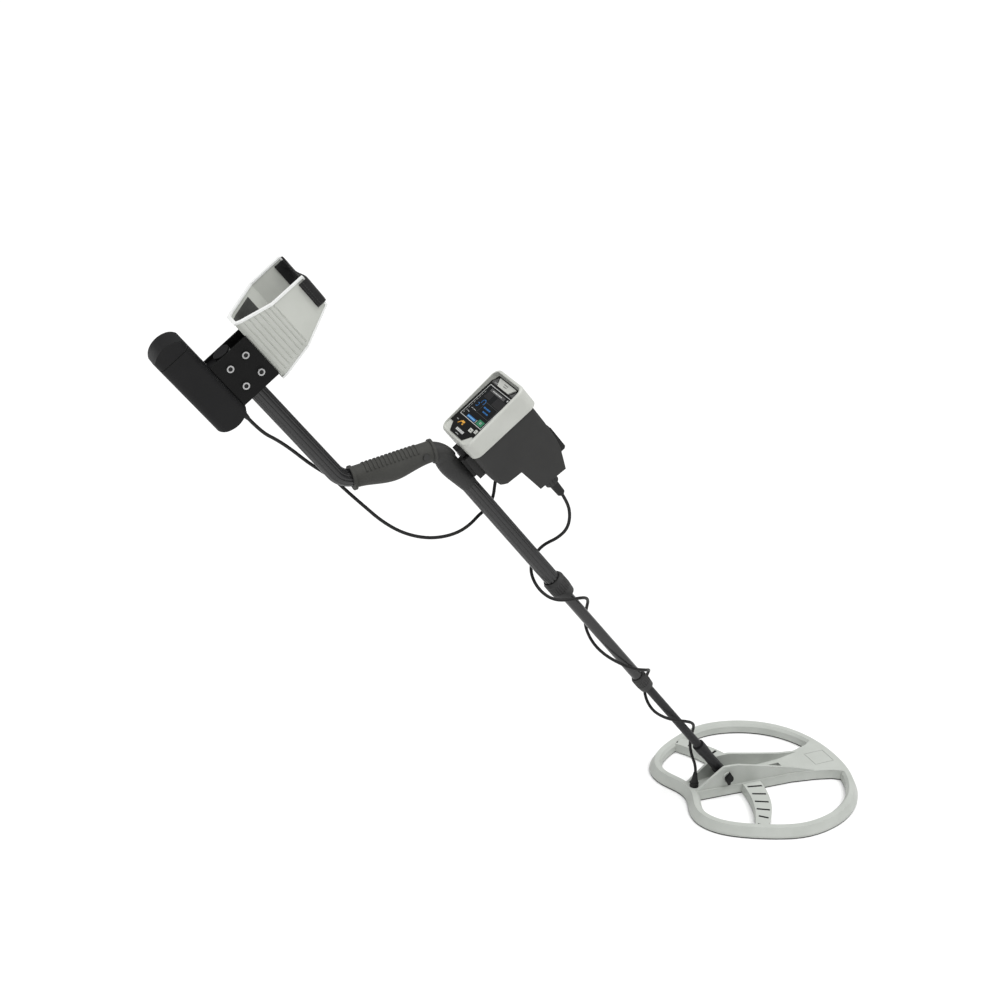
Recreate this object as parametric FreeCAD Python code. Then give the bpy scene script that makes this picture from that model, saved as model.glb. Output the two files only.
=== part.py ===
import FreeCAD, Part
import math
import os

from FreeCAD import Vector

# ---------------------------------------------------------------- driving dimensions, mm and degrees
# Object frame: origin at the middle of the hand grip, +X forward, +Y to the user's left, +Z up.
shaft_angle = 50.8          # both straight tubes fall forward at this angle below the horizontal
grip_angle = 11.5           # the grip rises forward at this angle
rear_corner = 75.6          # grip centre to the corner of the rear bend
front_corner = 70.5         # grip centre to the corner of the front bend
bend_radius = 34.0

tube_r, tube_bore_r = 12.5, 11.0
rear_end = -266.0           # open upper end of the tube, in the rear frame
upper_end = 338.0           # lower end of the tube, in the front frame

mid_r, mid_bore_r = 8.8, 7.9
mid_start, mid_end = 200.0, 589.0
rod_r, rod_bore_r = 7.0, 5.2
rod_start, rod_end = 470.0, 826.0
running_gap = 0.06          # radial clearance of sliding and turning fits

upper_collar_span = (306.5, 345.5)
upper_collar_r = 17.0
lower_collar_span = (567.5, 597.5)
lower_collar_r = 12.6

grip_half = 60.0
flange_r, flange_t = 18.0, 4.0
button_place = (46.0, 1.0)
button_r = 4.8

plate_x = (-267.5, -195.5)  # arm rest bracket plates, rear frame
plate_z = (-25.0, 37.0)
plate_y = (13.0, 16.0)
bracket_screw_x = (-249.0, -216.0)
bracket_screw_z = (-6.2, 20.8)

cup_x = (-290.0, -186.5)    # arm cup, rear frame
cup_top = 142.0
cup_floor = 40.0
cup_wall = 3.0

case_x = (-311.0, -182.5)   # battery case body, rear frame
case_z = (-74.0, -25.0)
case_half = 21.0
case_wall = 2.5
case_corner = 9.0
cap_end = -334.5
dome_r = 33.0               # rounded ends of the battery case
gland_x = -188.5
cell_r, cell_len = 7.25, 50.5

face_x = 3.8                # floor of the recess in the control box face, front frame
housing_end = 29.5
shell_start = 30.5
box_half = 44.0
housing_half = 46.0
box_z = (27.0, 138.0)
housing_z = (26.0, 145.0)
cover_hinge = (94.0, 139.0)
jack_place = (100.0, 104.0)   # headphone socket in the left wall
jack_inner, jack_mouth = 30.0, 46.0
jack_bore_r = 3.2
plug_y, plug_z = -25.0, 92.0
plug_end = 186.0

hinge_x = 852.4             # coil hinge axis along the shaft, front frame
coil_top, coil_bottom = -18.0, -35.0
skid_bottom = -37.0
crest_inset = 7.0           # the rim leans in to its crest
rim_width = 20.0
wall_top = 20.0
boot_top = Vector(-51.4, 0.0, 8.0)
cheek_y = (15.5, 21.5)       # faces of the hinge bosses on each side
wall_inset = 1.5
washer_r = 9.0

cable_r = 2.5


# ---------------------------------------------------------------- frames and small helpers
def direction(angle):
    """Unit vector in the XZ plane at this angle below the horizontal."""
    return Vector(math.cos(math.radians(angle)), 0, -math.sin(math.radians(angle)))


def on_grip_axis(reach):
    return direction(-grip_angle) * reach


REAR = FreeCAD.Placement(on_grip_axis(-rear_corner), FreeCAD.Rotation(Vector(0, 1, 0), shaft_angle))
FRONT = FreeCAD.Placement(on_grip_axis(front_corner), FreeCAD.Rotation(Vector(0, 1, 0), shaft_angle))
GRIP = FreeCAD.Placement(Vector(0, 0, 0), FreeCAD.Rotation(Vector(0, 1, 0), -grip_angle))
COIL = FreeCAD.Placement(FRONT.multVec(Vector(hinge_x, 0, 0)), FreeCAD.Rotation())
OBJECT = FreeCAD.Placement()

X, Y, Z = Vector(1, 0, 0), Vector(0, 1, 0), Vector(0, 0, 1)


def save(name, shape, frame=OBJECT):
    """Place a shape built in a local frame and write it as one STEP file."""
    placed = shape.copy()
    placed.transformShape(frame.toMatrix(), True)
    placed.exportStep("parts/" + name + ".step")


def block(x, y, z):
    return Part.makeBox(x[1] - x[0], y[1] - y[0], z[1] - z[0], Vector(x[0], y[0], z[0]))


def rod(r, start, end):
    """Round bar between two points."""
    return Part.makeCylinder(r, (end - start).Length, start, end - start)


def bar_x(r, x0, x1, y=0.0, z=0.0):
    return rod(r, Vector(x0, y, z), Vector(x1, y, z))


def bar_y(r, y0, y1, x=0.0, z=0.0):
    return rod(r, Vector(x, y0, z), Vector(x, y1, z))


def ring_x(outer, inner, x0, x1, y=0.0, z=0.0):
    return bar_x(outer, x0, x1, y, z).cut(bar_x(inner, x0 - 1, x1 + 1, y, z))


def polygon(points):
    return Part.Face(Part.makePolygon(points + [points[0]]))


def side_prism(points, half):
    """Outline in X and Z, extruded evenly to both sides in Y."""
    return polygon([Vector(x, -half, z) for x, z in points]).extrude(Vector(0, 2 * half, 0))


def end_prism(points, x0, x1):
    """Outline in Y and Z, extruded along X."""
    return polygon([Vector(x0, y, z) for y, z in points]).extrude(Vector(x1 - x0, 0, 0))


def mirrored(points):
    """Close a half outline, given on the +Y side, by its mirror image."""
    return points + [(-y, z) for y, z in reversed(points) if abs(y) > 1e-6]


def rounded_bar(x, half, z, corner):
    """Bar along X with a rounded rectangular section."""
    core = [(half - corner, z[0] + corner), (half - corner, z[1] - corner)]
    face = polygon([Vector(x[0], y, zz) for y, zz in mirrored(core)])
    return face.makeOffset2D(corner).extrude(Vector(x[1] - x[0], 0, 0))


def fuse(shapes):
    first = shapes[0]
    return first.fuse(shapes[1:]).removeSplitter()


def group(shapes):
    return Part.makeCompound(shapes)


# ---------------------------------------------------------------- cords
def cord_wire(points):
    """Straight runs joined by tangent arcs, each arc set by the shorter run beside it."""
    tangents = []
    radii = []
    for before, here, after in zip(points, points[1:], points[2:]):
        back, ahead = before - here, after - here
        half_turn = (math.pi - back.getAngle(ahead)) / 2
        reach = 0.45 * min(back.Length, ahead.Length)
        radii.append(reach / math.tan(half_turn))
        back.normalize()
        ahead.normalize()
        start, end = here + back * reach, here + ahead * reach
        bisector = back + ahead
        bisector.normalize()
        centre = here + bisector * (reach / math.sin(half_turn))
        middle = centre - bisector * radii[-1]
        tangents.append((start, middle, end))
    edges = []
    cursor = points[0]
    for start, middle, end in tangents:
        edges.append(Part.makeLine(cursor, start))
        edges.append(Part.Arc(start, middle, end).toShape())
        cursor = end
    edges.append(Part.makeLine(cursor, points[-1]))
    return Part.Wire(edges), radii


def cord(name, points, r):
    """Round cord along the points; its volume must equal section times length."""
    path, radii = cord_wire(points)
    section = Part.Wire(Part.makeCircle(r, points[0], points[1] - points[0]))
    solid = path.makePipeShell([section], True, False)
    expected = math.pi * r * r * path.Length
    if abs(solid.Volume / expected - 1) > 0.01:
        raise ValueError(name + " does not follow its path")
    print(name, "length", round(path.Length, 1), "tightest radius", round(min(radii), 1))
    return solid


# ---------------------------------------------------------------- bent upper tube and its grip
def bent_wire():
    corners = [REAR.multVec(Vector(rear_end, 0, 0)), REAR.Base, FRONT.Base,
               FRONT.multVec(Vector(upper_end, 0, 0))]
    edges = []
    cursor = corners[0]
    for before, here, after in zip(corners, corners[1:], corners[2:]):
        back, ahead = before - here, after - here
        half_turn = (math.pi - back.getAngle(ahead)) / 2
        reach = bend_radius * math.tan(half_turn)
        back.normalize()
        ahead.normalize()
        bisector = back + ahead
        bisector.normalize()
        centre = here + bisector * (bend_radius / math.cos(half_turn))
        start, end = here + back * reach, here + ahead * reach
        edges.append(Part.makeLine(cursor, start))
        edges.append(Part.Arc(start, centre - bisector * bend_radius, end).toShape())
        cursor = end
    edges.append(Part.makeLine(cursor, corners[-1]))
    return Part.Wire(edges)


def bent_bar(r):
    path = bent_wire()
    section = Part.Wire(Part.makeCircle(r, path.Vertexes[0].Point, direction(shaft_angle)))
    return path.makePipeShell([section], True, False)


def bracket_screw_places():
    return [(x, z) for x in bracket_screw_x for z in bracket_screw_z]


def upper_tube():
    tube = bent_bar(tube_r).cut(bent_bar(tube_bore_r))
    low = bracket_screw_z[0]
    for x in bracket_screw_x:
        hole = bar_y(2.5, -20, 20, x, low)
        hole.Placement = REAR
        tube = tube.cut(hole)
    return tube


def tube_plug():
    return fuse([bar_x(12.4, rear_end - 2.5, rear_end), bar_x(tube_bore_r, rear_end, rear_end + 9)])


def grip_section(x, below, half):
    """Oval section; the top stays level and the underside swells into the palm."""
    above = 16.0
    tall = (above + below) / 2
    centre = Vector(x, 0, (above - below) / 2)
    if tall > half:
        oval = Part.Ellipse(centre + Vector(0, 0, tall), centre + Vector(0, half, 0), centre)
    else:
        oval = Part.Ellipse(centre + Vector(0, half, 0), centre + Vector(0, 0, tall), centre)
    return Part.Wire(oval.toShape())


def hand_grip():
    stations = [(-grip_half, 15.4, 15.0), (-42, 17.4, 15.3), (-14, 23.4, 16.4), (6, 24.0, 16.6),
                (24, 20.4, 16.0), (42, 16.6, 15.4), (grip_half, 15.4, 15.0)]
    body = Part.makeLoft([grip_section(*station) for station in stations], True)
    parts = [body]
    for side in (-1, 1):
        parts.append(bar_x(flange_r, side * (grip_half - 1), side * (grip_half + flange_t - 1)))
    crown = block((-grip_half, grip_half), (-30, 30), (9.5, 30))
    for i in range(14):
        x = -42 + i * 6.0
        parts.append(ring_x(17.0, 13.2, x, x + 2.2).common(crown))
    grip = fuse(parts).cut(bar_y(button_r, -30, -10, *button_place))
    grip.Placement = GRIP
    return grip.cut(bent_bar(tube_r))


def grip_button():
    """Round thumb button on the right of the grip, pressed inwards."""
    return bar_y(button_r - running_gap, -18.2, -13.8, *button_place)


# ---------------------------------------------------------------- arm rest bracket
def bracket_plates():
    plates = []
    for side in (-1, 1):
        y = sorted((side * plate_y[0], side * plate_y[1]))
        plate = block(plate_x, y, plate_z)
        for x, z in bracket_screw_places():
            plate = plate.cut(bar_y(2.5, -20, 20, x, z))
        plates.append(plate)
    return group(plates)


def bracket_screw(x, z, side):
    head = bar_y(5.0, side * plate_y[1], side * (plate_y[1] + 2.8), x, z)
    socket = bar_y(3.1, side * (plate_y[1] + 0.6), side * (plate_y[1] + 3), x, z)
    return fuse([head, bar_y(2.5, side * 7.5, side * plate_y[1], x, z)]).cut(socket)


def bracket_screws():
    return group([bracket_screw(x, z, side) for x, z in bracket_screw_places() for side in (-1, 1)])


def cup_foot():
    """Block between the plates that carries the cup."""
    foot = block((-257, -200), (-plate_y[0], plate_y[0]), (13, plate_z[1]))
    for x in bracket_screw_x:
        foot = foot.cut(bar_y(2.5, -20, 20, x, bracket_screw_z[1]))
    for x in cup_screw_x():
        foot = foot.cut(rod(2.0, Vector(x, 0, 28), Vector(x, 0, 60)))
    return foot


def cup_screw_x():
    return (-230.0, -206.0)


def cup_screws():
    screws = []
    for x in cup_screw_x():
        shank = rod(2.0, Vector(x, 0, 28), Vector(x, 0, cup_floor))
        head = rod(4.0, Vector(x, 0, cup_floor), Vector(x, 0, cup_floor + 2))
        screws.append(fuse([shank, head]))
    return group(screws)


def case_saddle():
    """Cradle between the tube and the battery case."""
    saddle = block((-263, -200), (-plate_y[0], plate_y[0]), (case_z[1], -9))
    return saddle.cut(bar_x(tube_r, -300, -150))


# ---------------------------------------------------------------- arm cup
def cup_core(grow):
    """Inside of the cup as a long bar, grown or shrunk evenly all round."""
    half = [(13.0, cup_floor), (18.5, cup_floor + 5.5), (44.0, cup_floor + 50), (45.6, cup_floor + 118)]
    face = polygon([Vector(-320, y, z) for y, z in mirrored(half)])
    if grow:
        face = face.makeOffset2D(grow)
    return face.extrude(Vector(160, 0, 0))


def cup_side(grow):
    """Side outline of the cup walls, grown or shrunk evenly; it runs on below the floor."""
    outline = [(cup_x[0], 10), (cup_x[0], cup_top), (-239, cup_top), (cup_x[1], 36), (cup_x[1] + 9, 10)]
    face = polygon([Vector(x, -80, z) for x, z in outline])
    if grow:
        face = face.makeOffset2D(grow)
    return face.extrude(Vector(0, 160, 0))


def cup_shell():
    shell = cup_core(cup_wall).cut(cup_core(0)).common(cup_side(0))
    for x in cup_screw_x():
        shell = shell.cut(rod(2.0, Vector(x, 0, 30), Vector(x, 0, 50)))
    return shell


def cup_trim(shell):
    """Bead that wraps the free edges of the shell."""
    skin = cup_core(cup_wall + 0.9).cut(cup_core(-0.9))
    return skin.common(cup_side(1.2).cut(cup_side(-1.4))).cut(shell)


def cup_pad():
    pad = cup_core(0).cut(cup_core(-3.0)).common(cup_side(-6.0))
    pad = pad.common(block((-300, -180), (-60, 60), (30, 75)))
    for x in cup_screw_x():
        pad = pad.cut(rod(4.4, Vector(x, 0, 30), Vector(x, 0, 50)))
    return pad


def arm_strap():
    """Strap over the top of the cup, folded down outside both walls and inside the far one."""
    width = (-286.5, -245.5)
    outside = cup_core(6.5).cut(cup_core(4.5)).common(block(width, (-60, 60), (131, 144.5)))
    inside = cup_core(-1.6).cut(cup_core(-3.6)).common(block(width, (0, 60), (128, 144.5)))
    bridge = cup_core(6.5).common(block(width, (-60, 60), (144.5, 146.5)))
    return fuse([outside, inside, bridge])


# ---------------------------------------------------------------- battery case
def case_middle():
    return (case_z[0] + case_z[1]) / 2


def domed_bar(x, side):
    """Length of the case whose end on this side swells outwards in an arc."""
    tip = x[1] if side > 0 else x[0]
    centre = tip - side * dome_r
    arc = bar_y(dome_r, -30, 30, centre, case_middle())
    rest = block(sorted((centre, centre - side * 150)), (-30, 30), (-100, 0))
    return rounded_bar(x, case_half, case_z, case_corner).common(arc.fuse(rest))


def battery_case():
    hollow = rounded_bar((case_x[0] - 1, case_x[1] - 12), case_half - case_wall,
                         (case_z[0] + case_wall, case_z[1] - case_wall), case_corner - case_wall)
    body = domed_bar(case_x, 1).cut(hollow)
    body = body.cut(bar_x(3.0, gland_x - 4, gland_x + 1, -8, -34))
    return body.cut(bar_x(5.0, gland_x, gland_x + 12, -8, -34))


def battery_cap():
    body = domed_bar((cap_end, case_x[0] - 1), -1)
    gap = case_wall + running_gap
    spigot = rounded_bar((case_x[0] - 1, case_x[0] + 6), case_half - gap,
                         (case_z[0] + gap, case_z[1] - gap), case_corner - gap)
    inner = case_wall + 2.0
    hollow = rounded_bar((case_x[0] - 1, case_x[0] + 7), case_half - inner,
                         (case_z[0] + inner, case_z[1] - inner), case_corner - inner)
    return fuse([body, spigot.cut(hollow)])


def battery_seal():
    outer = rounded_bar((case_x[0] - 1, case_x[0] - 0.3), case_half - 0.6,
                        (case_z[0] + 0.6, case_z[1] - 0.6), case_corner - 0.6)
    gap = case_wall + running_gap
    inner = rounded_bar((case_x[0] - 2, case_x[0] + 1), case_half - gap,
                        (case_z[0] + gap, case_z[1] - gap), case_corner - gap)
    return outer.cut(inner)


def battery_tray():
    x = (case_x[0] - 1, -206.0)
    mid = case_middle()
    return fuse([block(x, (-16, 16), (mid - 0.8, mid + 0.8)),
                 block(x, (-0.8, 0.8), (mid - 19.4, mid + 19.4))])


def battery_cells():
    cells = []
    offset = 0.8 + cell_r
    for row in range(2):
        x = case_x[0] + 1 + row * (cell_len + 0.5)
        for y in (-offset, offset):
            for z in (-offset, offset):
                cells.append(bar_x(cell_r, x, x + cell_len, y, case_middle() + z))
    return group(cells)


def case_gland():
    """Cable outlet in the front end of the battery case, with its bend relief."""
    stem = bar_x(3.0, gland_x - 4, gland_x, -8, -34)
    collar = bar_x(5.0, gland_x, gland_x + 5, -8, -34)
    relief = Part.makeCone(4.2, 3.0, 9, Vector(gland_x + 5, -8, -34), X)
    return fuse([stem, collar, relief])


# ---------------------------------------------------------------- control box mount
def bend_bar(r):
    """The bent tube's path as a bar, in the front frame."""
    bar = bent_bar(r)
    bar.transformShape(FRONT.inverse().toMatrix(), True)
    return bar


def bend_sleeve():
    """Sleeve over the front bend, starting at the flange of the grip."""
    gripped = block((-300, grip_half + flange_t - 0.7), (-60, 60), (-160, 160))
    gripped.transformShape(FRONT.inverse().multiply(GRIP).toMatrix(), True)
    return bend_bar(15.2).common(block((-45, 22), (-30, 30), (-60, 40))).cut(gripped)


def sleeve_swell():
    """Swollen underside of the sleeve, tapering on to the tube."""
    stations = [(14, -1.2, 15.2), (26, -2.8, 15.8), (40, -2.8, 15.8), (54, -1.6, 15.1), (68, -0.5, 13.9),
                (78, 0, 12.9)]
    return Part.makeLoft([Part.Wire(Part.makeCircle(r, Vector(x, 0, z), X)) for x, z, r in stations], True)


def box_mount():
    """Sleeve clamped on the tube, with the rail that carries the control box."""
    rail = block((36, 77), (-14, 14), (17, box_z[0]))
    web = block((38, 73), (-6, 6), (12.8, 17))
    body = fuse([rail, web, bend_sleeve(), sleeve_swell(), bar_x(2.5, 20, 36, 0, 21)])
    return body.cut(bend_bar(tube_r))


def mount_latch():
    """Finger latch that slides on the rail's guide pin."""
    latch = block((20, 33), (-9, 9), (17.2, 25.4))
    return latch.cut(bar_x(2.5 + running_gap, 10, 40, 0, 21))


# ---------------------------------------------------------------- control box
def box_outline(inset):
    outline = [(shell_start, 27), (76, 27), (89, 31), (95, 40), (97.5, 66), (141.5, 71), (145.5, 118),
               (112, 131.5), (96, 135), (64, 137.3), (shell_start, 138)]
    face = polygon([Vector(x, 0, z) for x, z in outline])
    if inset:
        face = face.makeOffset2D(-inset)
    return face


def box_shell():
    half = Vector(0, box_half, 0)
    body = box_outline(0).extrude(half * 2)
    body.translate(-half)
    body = body.common(rounded_bar((0, 160), box_half, box_z, 9))
    wall = 3.0
    inside = Vector(0, box_half - wall, 0)
    hollow = box_outline(wall).extrude(inside * 2)
    hollow.translate(-inside)
    mouth = rounded_bar((shell_start - 1, shell_start + 5), box_half - wall,
                        (box_z[0] + wall, box_z[1] - wall), 6)
    body = body.cut(hollow).cut(mouth)
    body = body.cut(bar_x(7.9, 135, 150, plug_y, plug_z)).cut(bar_y(7.0, 30, 50, *jack_place))
    body = body.cut(rod(6.0, Vector(110, 20, 60), Vector(110, 20, 73)))
    return fuse([body.cut(block((118, 128), (-6, 6), (120, 134)))] + cover_ears())


def box_seal():
    outer = rounded_bar((housing_end, shell_start), box_half - 0.6, (box_z[0] + 0.6, box_z[1] - 0.6), 8.4)
    inner = rounded_bar((housing_end - 1, shell_start + 1), box_half - 3, (box_z[0] + 3, box_z[1] - 3), 6)
    return outer.cut(inner)


def power_key_outline(grow):
    return mirrored([(18.0 + grow, 124.5 - grow), (27.0 + grow, 136.0 + grow)])


def small_key_places():
    return ((-20.0, 51.0, 4.5, 3.0), (-32.5, 54.0, 3.4, 3.0))


def small_key(place, grow, x0, x1):
    y, z, half_w, half_h = place
    return block((x0, x1), (y - half_w - grow, y + half_w + grow), (z - half_h - grow, z + half_h + grow))


def key_openings(x0, x1):
    gap = 0.35
    return ([end_prism(power_key_outline(gap), x0, x1)]
            + [small_key(place, gap, x0, x1) for place in small_key_places()])


def box_housing():
    """Pale face housing: rounded block, leaning rim, recessed face and open back."""
    body = rounded_bar((-6, housing_end), housing_half, housing_z, 14)
    rim = [(-20, 0), (1.5, 20), (1.5, housing_z[0]), (-4.5, housing_z[1]), (-4.5, 160), (-20, 160)]
    body = body.cut(side_prism(rim, 80))
    lip = [e for e in body.Edges if e.BoundBox.XMax < 2.0]
    body = body.makeFillet(3.0, lip)
    recess = rounded_bar((-20, face_x), 42.0, (29.5, 140.5), 10)
    hollow = rounded_bar((face_x + 3, housing_end + 1), housing_half - 3, (housing_z[0] + 3, housing_z[1] - 3), 11)
    body = body.cut(recess).cut(hollow)
    body = body.cut(block((0, 10), (-33, 33), (63, 118.5)))
    back = rounded_bar((housing_end - 3, housing_end), housing_half - 2, (housing_z[0] + 2, housing_z[1] - 2), 12)
    back = back.cut(rounded_bar((0, 40), box_half - 3, (box_z[0] + 3, box_z[1] - 3), 6))
    bosses = [bar_x(3.2, face_x + 3, 14, y, z) for y, z in board_screw_places()]
    body = fuse([body, back] + bosses)
    for y, z in board_screw_places():
        body = body.cut(bar_x(1.4, 8, 15, y, z))
    for opening in key_openings(0, 10):
        body = body.cut(opening)
    return body


def bezel():
    half = [(0, 32), (20.5, 32), (32, 45), (41.5, 45), (41.5, 126), (36, 138), (0, 138)]
    plate = end_prism(mirrored(half), face_x - 1.2, face_x)
    plate = plate.cut(block((0, 10), (-34.5, 34.5), (61.5, 120)))
    for opening in key_openings(0, 10):
        plate = plate.cut(opening)
    return plate


def screen_window():
    return block((face_x - 1.1, face_x), (-34.5, 34.5), (61.5, 120))


def power_key():
    return end_prism(power_key_outline(0), 1.0, 8.6)


def display_panel():
    return block((face_x + 3, face_x + 6.6), (-36, 36), (58, 122))


def board_screw_places():
    return [(y, z) for y in (-37.0, 37.0) for z in (40.0, 130.0)]


def circuit_board():
    """Board with its main chips soldered on."""
    board = block((14.0, 15.6), (-41, 41), (34, 136))
    for y, z in board_screw_places():
        board = board.cut(bar_x(1.4, 10, 20, y, z))
    chips = [(0, 85, 11, 11), (-22, 60, 6, 9), (20, 112, 8, 5), (18, 55, 5, 7), (-24, 108, 5, 5)]
    return fuse([board] + [block((15.6, 18.0), (y - w, y + w), (z - h, z + h)) for y, z, w, h in chips])


def board_screws():
    screws = []
    for y, z in board_screw_places():
        screws.append(fuse([bar_x(2.8, 15.6, 17.4, y, z), bar_x(1.4, 9.0, 15.6, y, z)]))
    return group(screws)


def speaker():
    cone = Part.makeCone(16, 9, 8, Vector(56, 0, box_z[0] + 3), Z)
    magnet = rod(9, Vector(56, 0, box_z[0] + 11), Vector(56, 0, box_z[0] + 16))
    return fuse([cone, magnet])


def cover_ears():
    """Two ears on the box that carry the cover's hinge stubs."""
    ears = []
    for side in (-1, 1):
        y = sorted((side * 18.3, side * 20.8))
        ears.append(block((91.5, 96.5), y, (134, 141.2)).cut(bar_y(1.2 + running_gap, -30, 30, *cover_hinge)))
    return ears


def socket_cover():
    """Hinged cover that carries the top line of the box over its sloping front."""
    outline = [(92.5, 139.5), (95, 141.6), (133, 141.6), (136, 138.5), (136, 122.3), (112.2, 131.9),
               (96.5, 135.4), (92.5, 136.1)]
    return fuse([side_prism(outline, 18), bar_y(1.2, -20.5, 20.5, *cover_hinge)])


def charge_socket():
    return block((118, 128), (-6, 6), (116, 124.8)).cut(block((120, 126), (-4.5, 4.5), (118, 126)))


def headphone_socket():
    """Barrel through the left wall of the box with its nut outside."""
    x, z = jack_place
    body = fuse([bar_y(7.0, jack_inner, box_half, x, z), bar_y(8.6, box_half, jack_mouth, x, z)])
    return body.cut(bar_y(jack_bore_r, jack_inner - 1, jack_mouth + 1, x, z))


def coil_socket():
    return fuse([bar_x(7.9, 136.4, 153, plug_y, plug_z), bar_x(10.5, 136.4, 139.0, plug_y, plug_z)])


def coil_plug():
    """Round plug with a thick boot over the cable."""
    boot = Part.makeCone(7.2, 6.2, plug_end - 162, Vector(160, plug_y, plug_z), X)
    tip = Part.makeCone(6.2, 4.6, 2, Vector(plug_end - 2, plug_y, plug_z), X)
    return fuse([bar_x(7.9, 153, 160, plug_y, plug_z), boot, tip])


def plug_ring():
    ring = ring_x(11.0, 7.9 + running_gap, 147.5, 159, plug_y, plug_z)
    for i in range(12):
        angle = math.radians(30 * i)
        y, z = plug_y + 11.3 * math.cos(angle), plug_z + 11.3 * math.sin(angle)
        ring = ring.cut(bar_x(0.9, 146, 160, y, z))
    return ring


def box_gland():
    """Battery cable outlet under the overhanging front of the box."""
    seat = Vector(110, 20, 62.5)
    return fuse([rod(6.0, Vector(110, 20, 73), seat), Part.makeCone(5.0, 3.2, 6.5, seat, -Z)])


# ---------------------------------------------------------------- telescoping shaft
def knurl(body, r, span, count):
    """Cut even grip flutes round a collar."""
    for i in range(count):
        angle = 2 * math.pi * i / count
        y, z = (r + 0.5) * math.cos(angle), (r + 0.5) * math.sin(angle)
        body = body.cut(bar_x(1.3, span[0], span[1], y, z))
    return body


def upper_collet():
    """Bush inside the tube end and the threaded sleeve outside it, joined by a lip."""
    return fuse([ring_x(tube_bore_r, mid_r + running_gap, upper_end - 28, upper_end),
                 ring_x(14.5, mid_r + running_gap, upper_end, upper_end + 3),
                 ring_x(14.5, tube_r, upper_end - 20, upper_end)])


def upper_collar():
    x0, x1 = upper_collar_span
    body = fuse([Part.makeCone(14.4, upper_collar_r, 5, Vector(x0, 0, 0), X),
                 bar_x(upper_collar_r, x0 + 5, x1 - 14),
                 Part.makeCone(upper_collar_r, 15.6, 14, Vector(x1 - 14, 0, 0), X)])
    body = body.cut(bar_x(tube_r + running_gap, x0 - 1, x0 + 10)).cut(bar_x(mid_r + 0.3, x0, x1 + 1))
    body = body.cut(bar_x(14.5 + running_gap, x0 + 9, x1 - 3))
    return knurl(body, upper_collar_r, (x0 + 7, x1 - 15), 28)


def mid_tube():
    return ring_x(mid_r, mid_bore_r, mid_start, mid_end)


def mid_bush():
    return ring_x(tube_bore_r - running_gap, mid_r, mid_start, mid_start + 25)


def lower_collet():
    return fuse([ring_x(mid_bore_r, rod_r + running_gap, mid_end - 30, mid_end),
                 ring_x(10.4, rod_r + running_gap, mid_end, mid_end + 3),
                 ring_x(10.4, mid_r, mid_end - 13, mid_end)])


def lower_collar():
    x0, x1 = lower_collar_span
    body = fuse([Part.makeCone(10.6, lower_collar_r, 4, Vector(x0, 0, 0), X),
                 bar_x(lower_collar_r, x0 + 4, x1 - 11),
                 Part.makeCone(lower_collar_r, 11.5, 11, Vector(x1 - 11, 0, 0), X)])
    body = body.cut(bar_x(mid_r + running_gap, x0 - 1, x0 + 8)).cut(bar_x(rod_r + 0.3, x0, x1 + 1))
    body = body.cut(bar_x(10.4 + running_gap, x0 + 7, x1 - 2.5))
    return knurl(body, lower_collar_r, (x0 + 6, x1 - 12), 22)


def lower_rod():
    return ring_x(rod_r, rod_bore_r, rod_start, rod_end)


def rod_bush():
    return ring_x(mid_bore_r - running_gap, rod_r, rod_start, rod_start + 20)


def rod_end_fitting():
    """Stepped socket for the rod with a barrel round the hinge axis."""
    body = fuse([bar_x(10.2, 771, 789), bar_x(9.4, 789, 799), bar_x(8.9, 799, hinge_x - 4),
                 bar_y(9.8, -12, 12, hinge_x)])
    return body.cut(bar_x(rod_r, 760, rod_end)).cut(bar_y(4.0 + running_gap, -20, 20, hinge_x))


def hinge_washers():
    washers = []
    for side in (-1, 1):
        washer = bar_y(washer_r, side * (12 + running_gap), side * cheek_y[0], hinge_x)
        washers.append(washer.cut(bar_y(4.0, -30, 30, hinge_x)))
    return group(washers)


# ---------------------------------------------------------------- search coil
def coil_curve():
    """Smooth egg outline with a waist at the rear, from stations on one side."""
    half = [(-70, 0), (-75, 22), (-86, 48), (-88, 80), (-73, 110), (-43, 135), (0, 157), (55, 174),
            (113, 170), (167, 147), (208, 108), (232, 57), (239, 0)]
    other = [(x, -y) for x, y in reversed(half[1:-1])]
    curve = Part.BSplineCurve()
    curve.interpolate(Points=[Vector(x, y, 0) for x, y in half + other], PeriodicFlag=True)
    return curve


def coil_outline(z, inset=0.0):
    """The outline at a height, moved inwards by an even amount."""
    curve = coil_curve()
    count = 72
    points = []
    for i in range(count):
        u = curve.FirstParameter + (curve.LastParameter - curve.FirstParameter) * i / count
        tangent = curve.tangent(u)[0]
        inward = Vector(tangent.y, -tangent.x, 0)
        points.append(curve.value(u) + inward * inset + Vector(0, 0, z))
    offset = Part.BSplineCurve()
    offset.interpolate(Points=points, PeriodicFlag=True)
    return Part.Wire(offset.toShape())


def plan_prism(points, z0, z1):
    return polygon([Vector(x, y, z0) for x, y in points]).extrude(Vector(0, 0, z1 - z0))


def bevelled_disc():
    """Whole outline as a plate whose side leans in above its lower edge."""
    plate = Part.Face(coil_outline(coil_bottom)).extrude(Vector(0, 0, 3))
    lean = Part.makeLoft([coil_outline(coil_bottom + 3), coil_outline(coil_top, crest_inset)], True, True)
    return plate.fuse(lean)


def rim_hole():
    """Everything inside the rim, wider at the top for the inner bevel."""
    low = Part.Face(coil_outline(coil_bottom - 5, rim_width)).extrude(Vector(0, 0, coil_top - coil_bottom))
    wide = Part.makeLoft([coil_outline(coil_top - 5, rim_width), coil_outline(coil_top + 1, rim_width - 5)],
                         True, True)
    return low.fuse(wide)


def spine_edge():
    return [(-74, 17.5), (-58, 18), (0, 21), (30, 23), (70, 24.5), (128, 27.5), (172, 35), (200, 43), (224, 58)]


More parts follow.
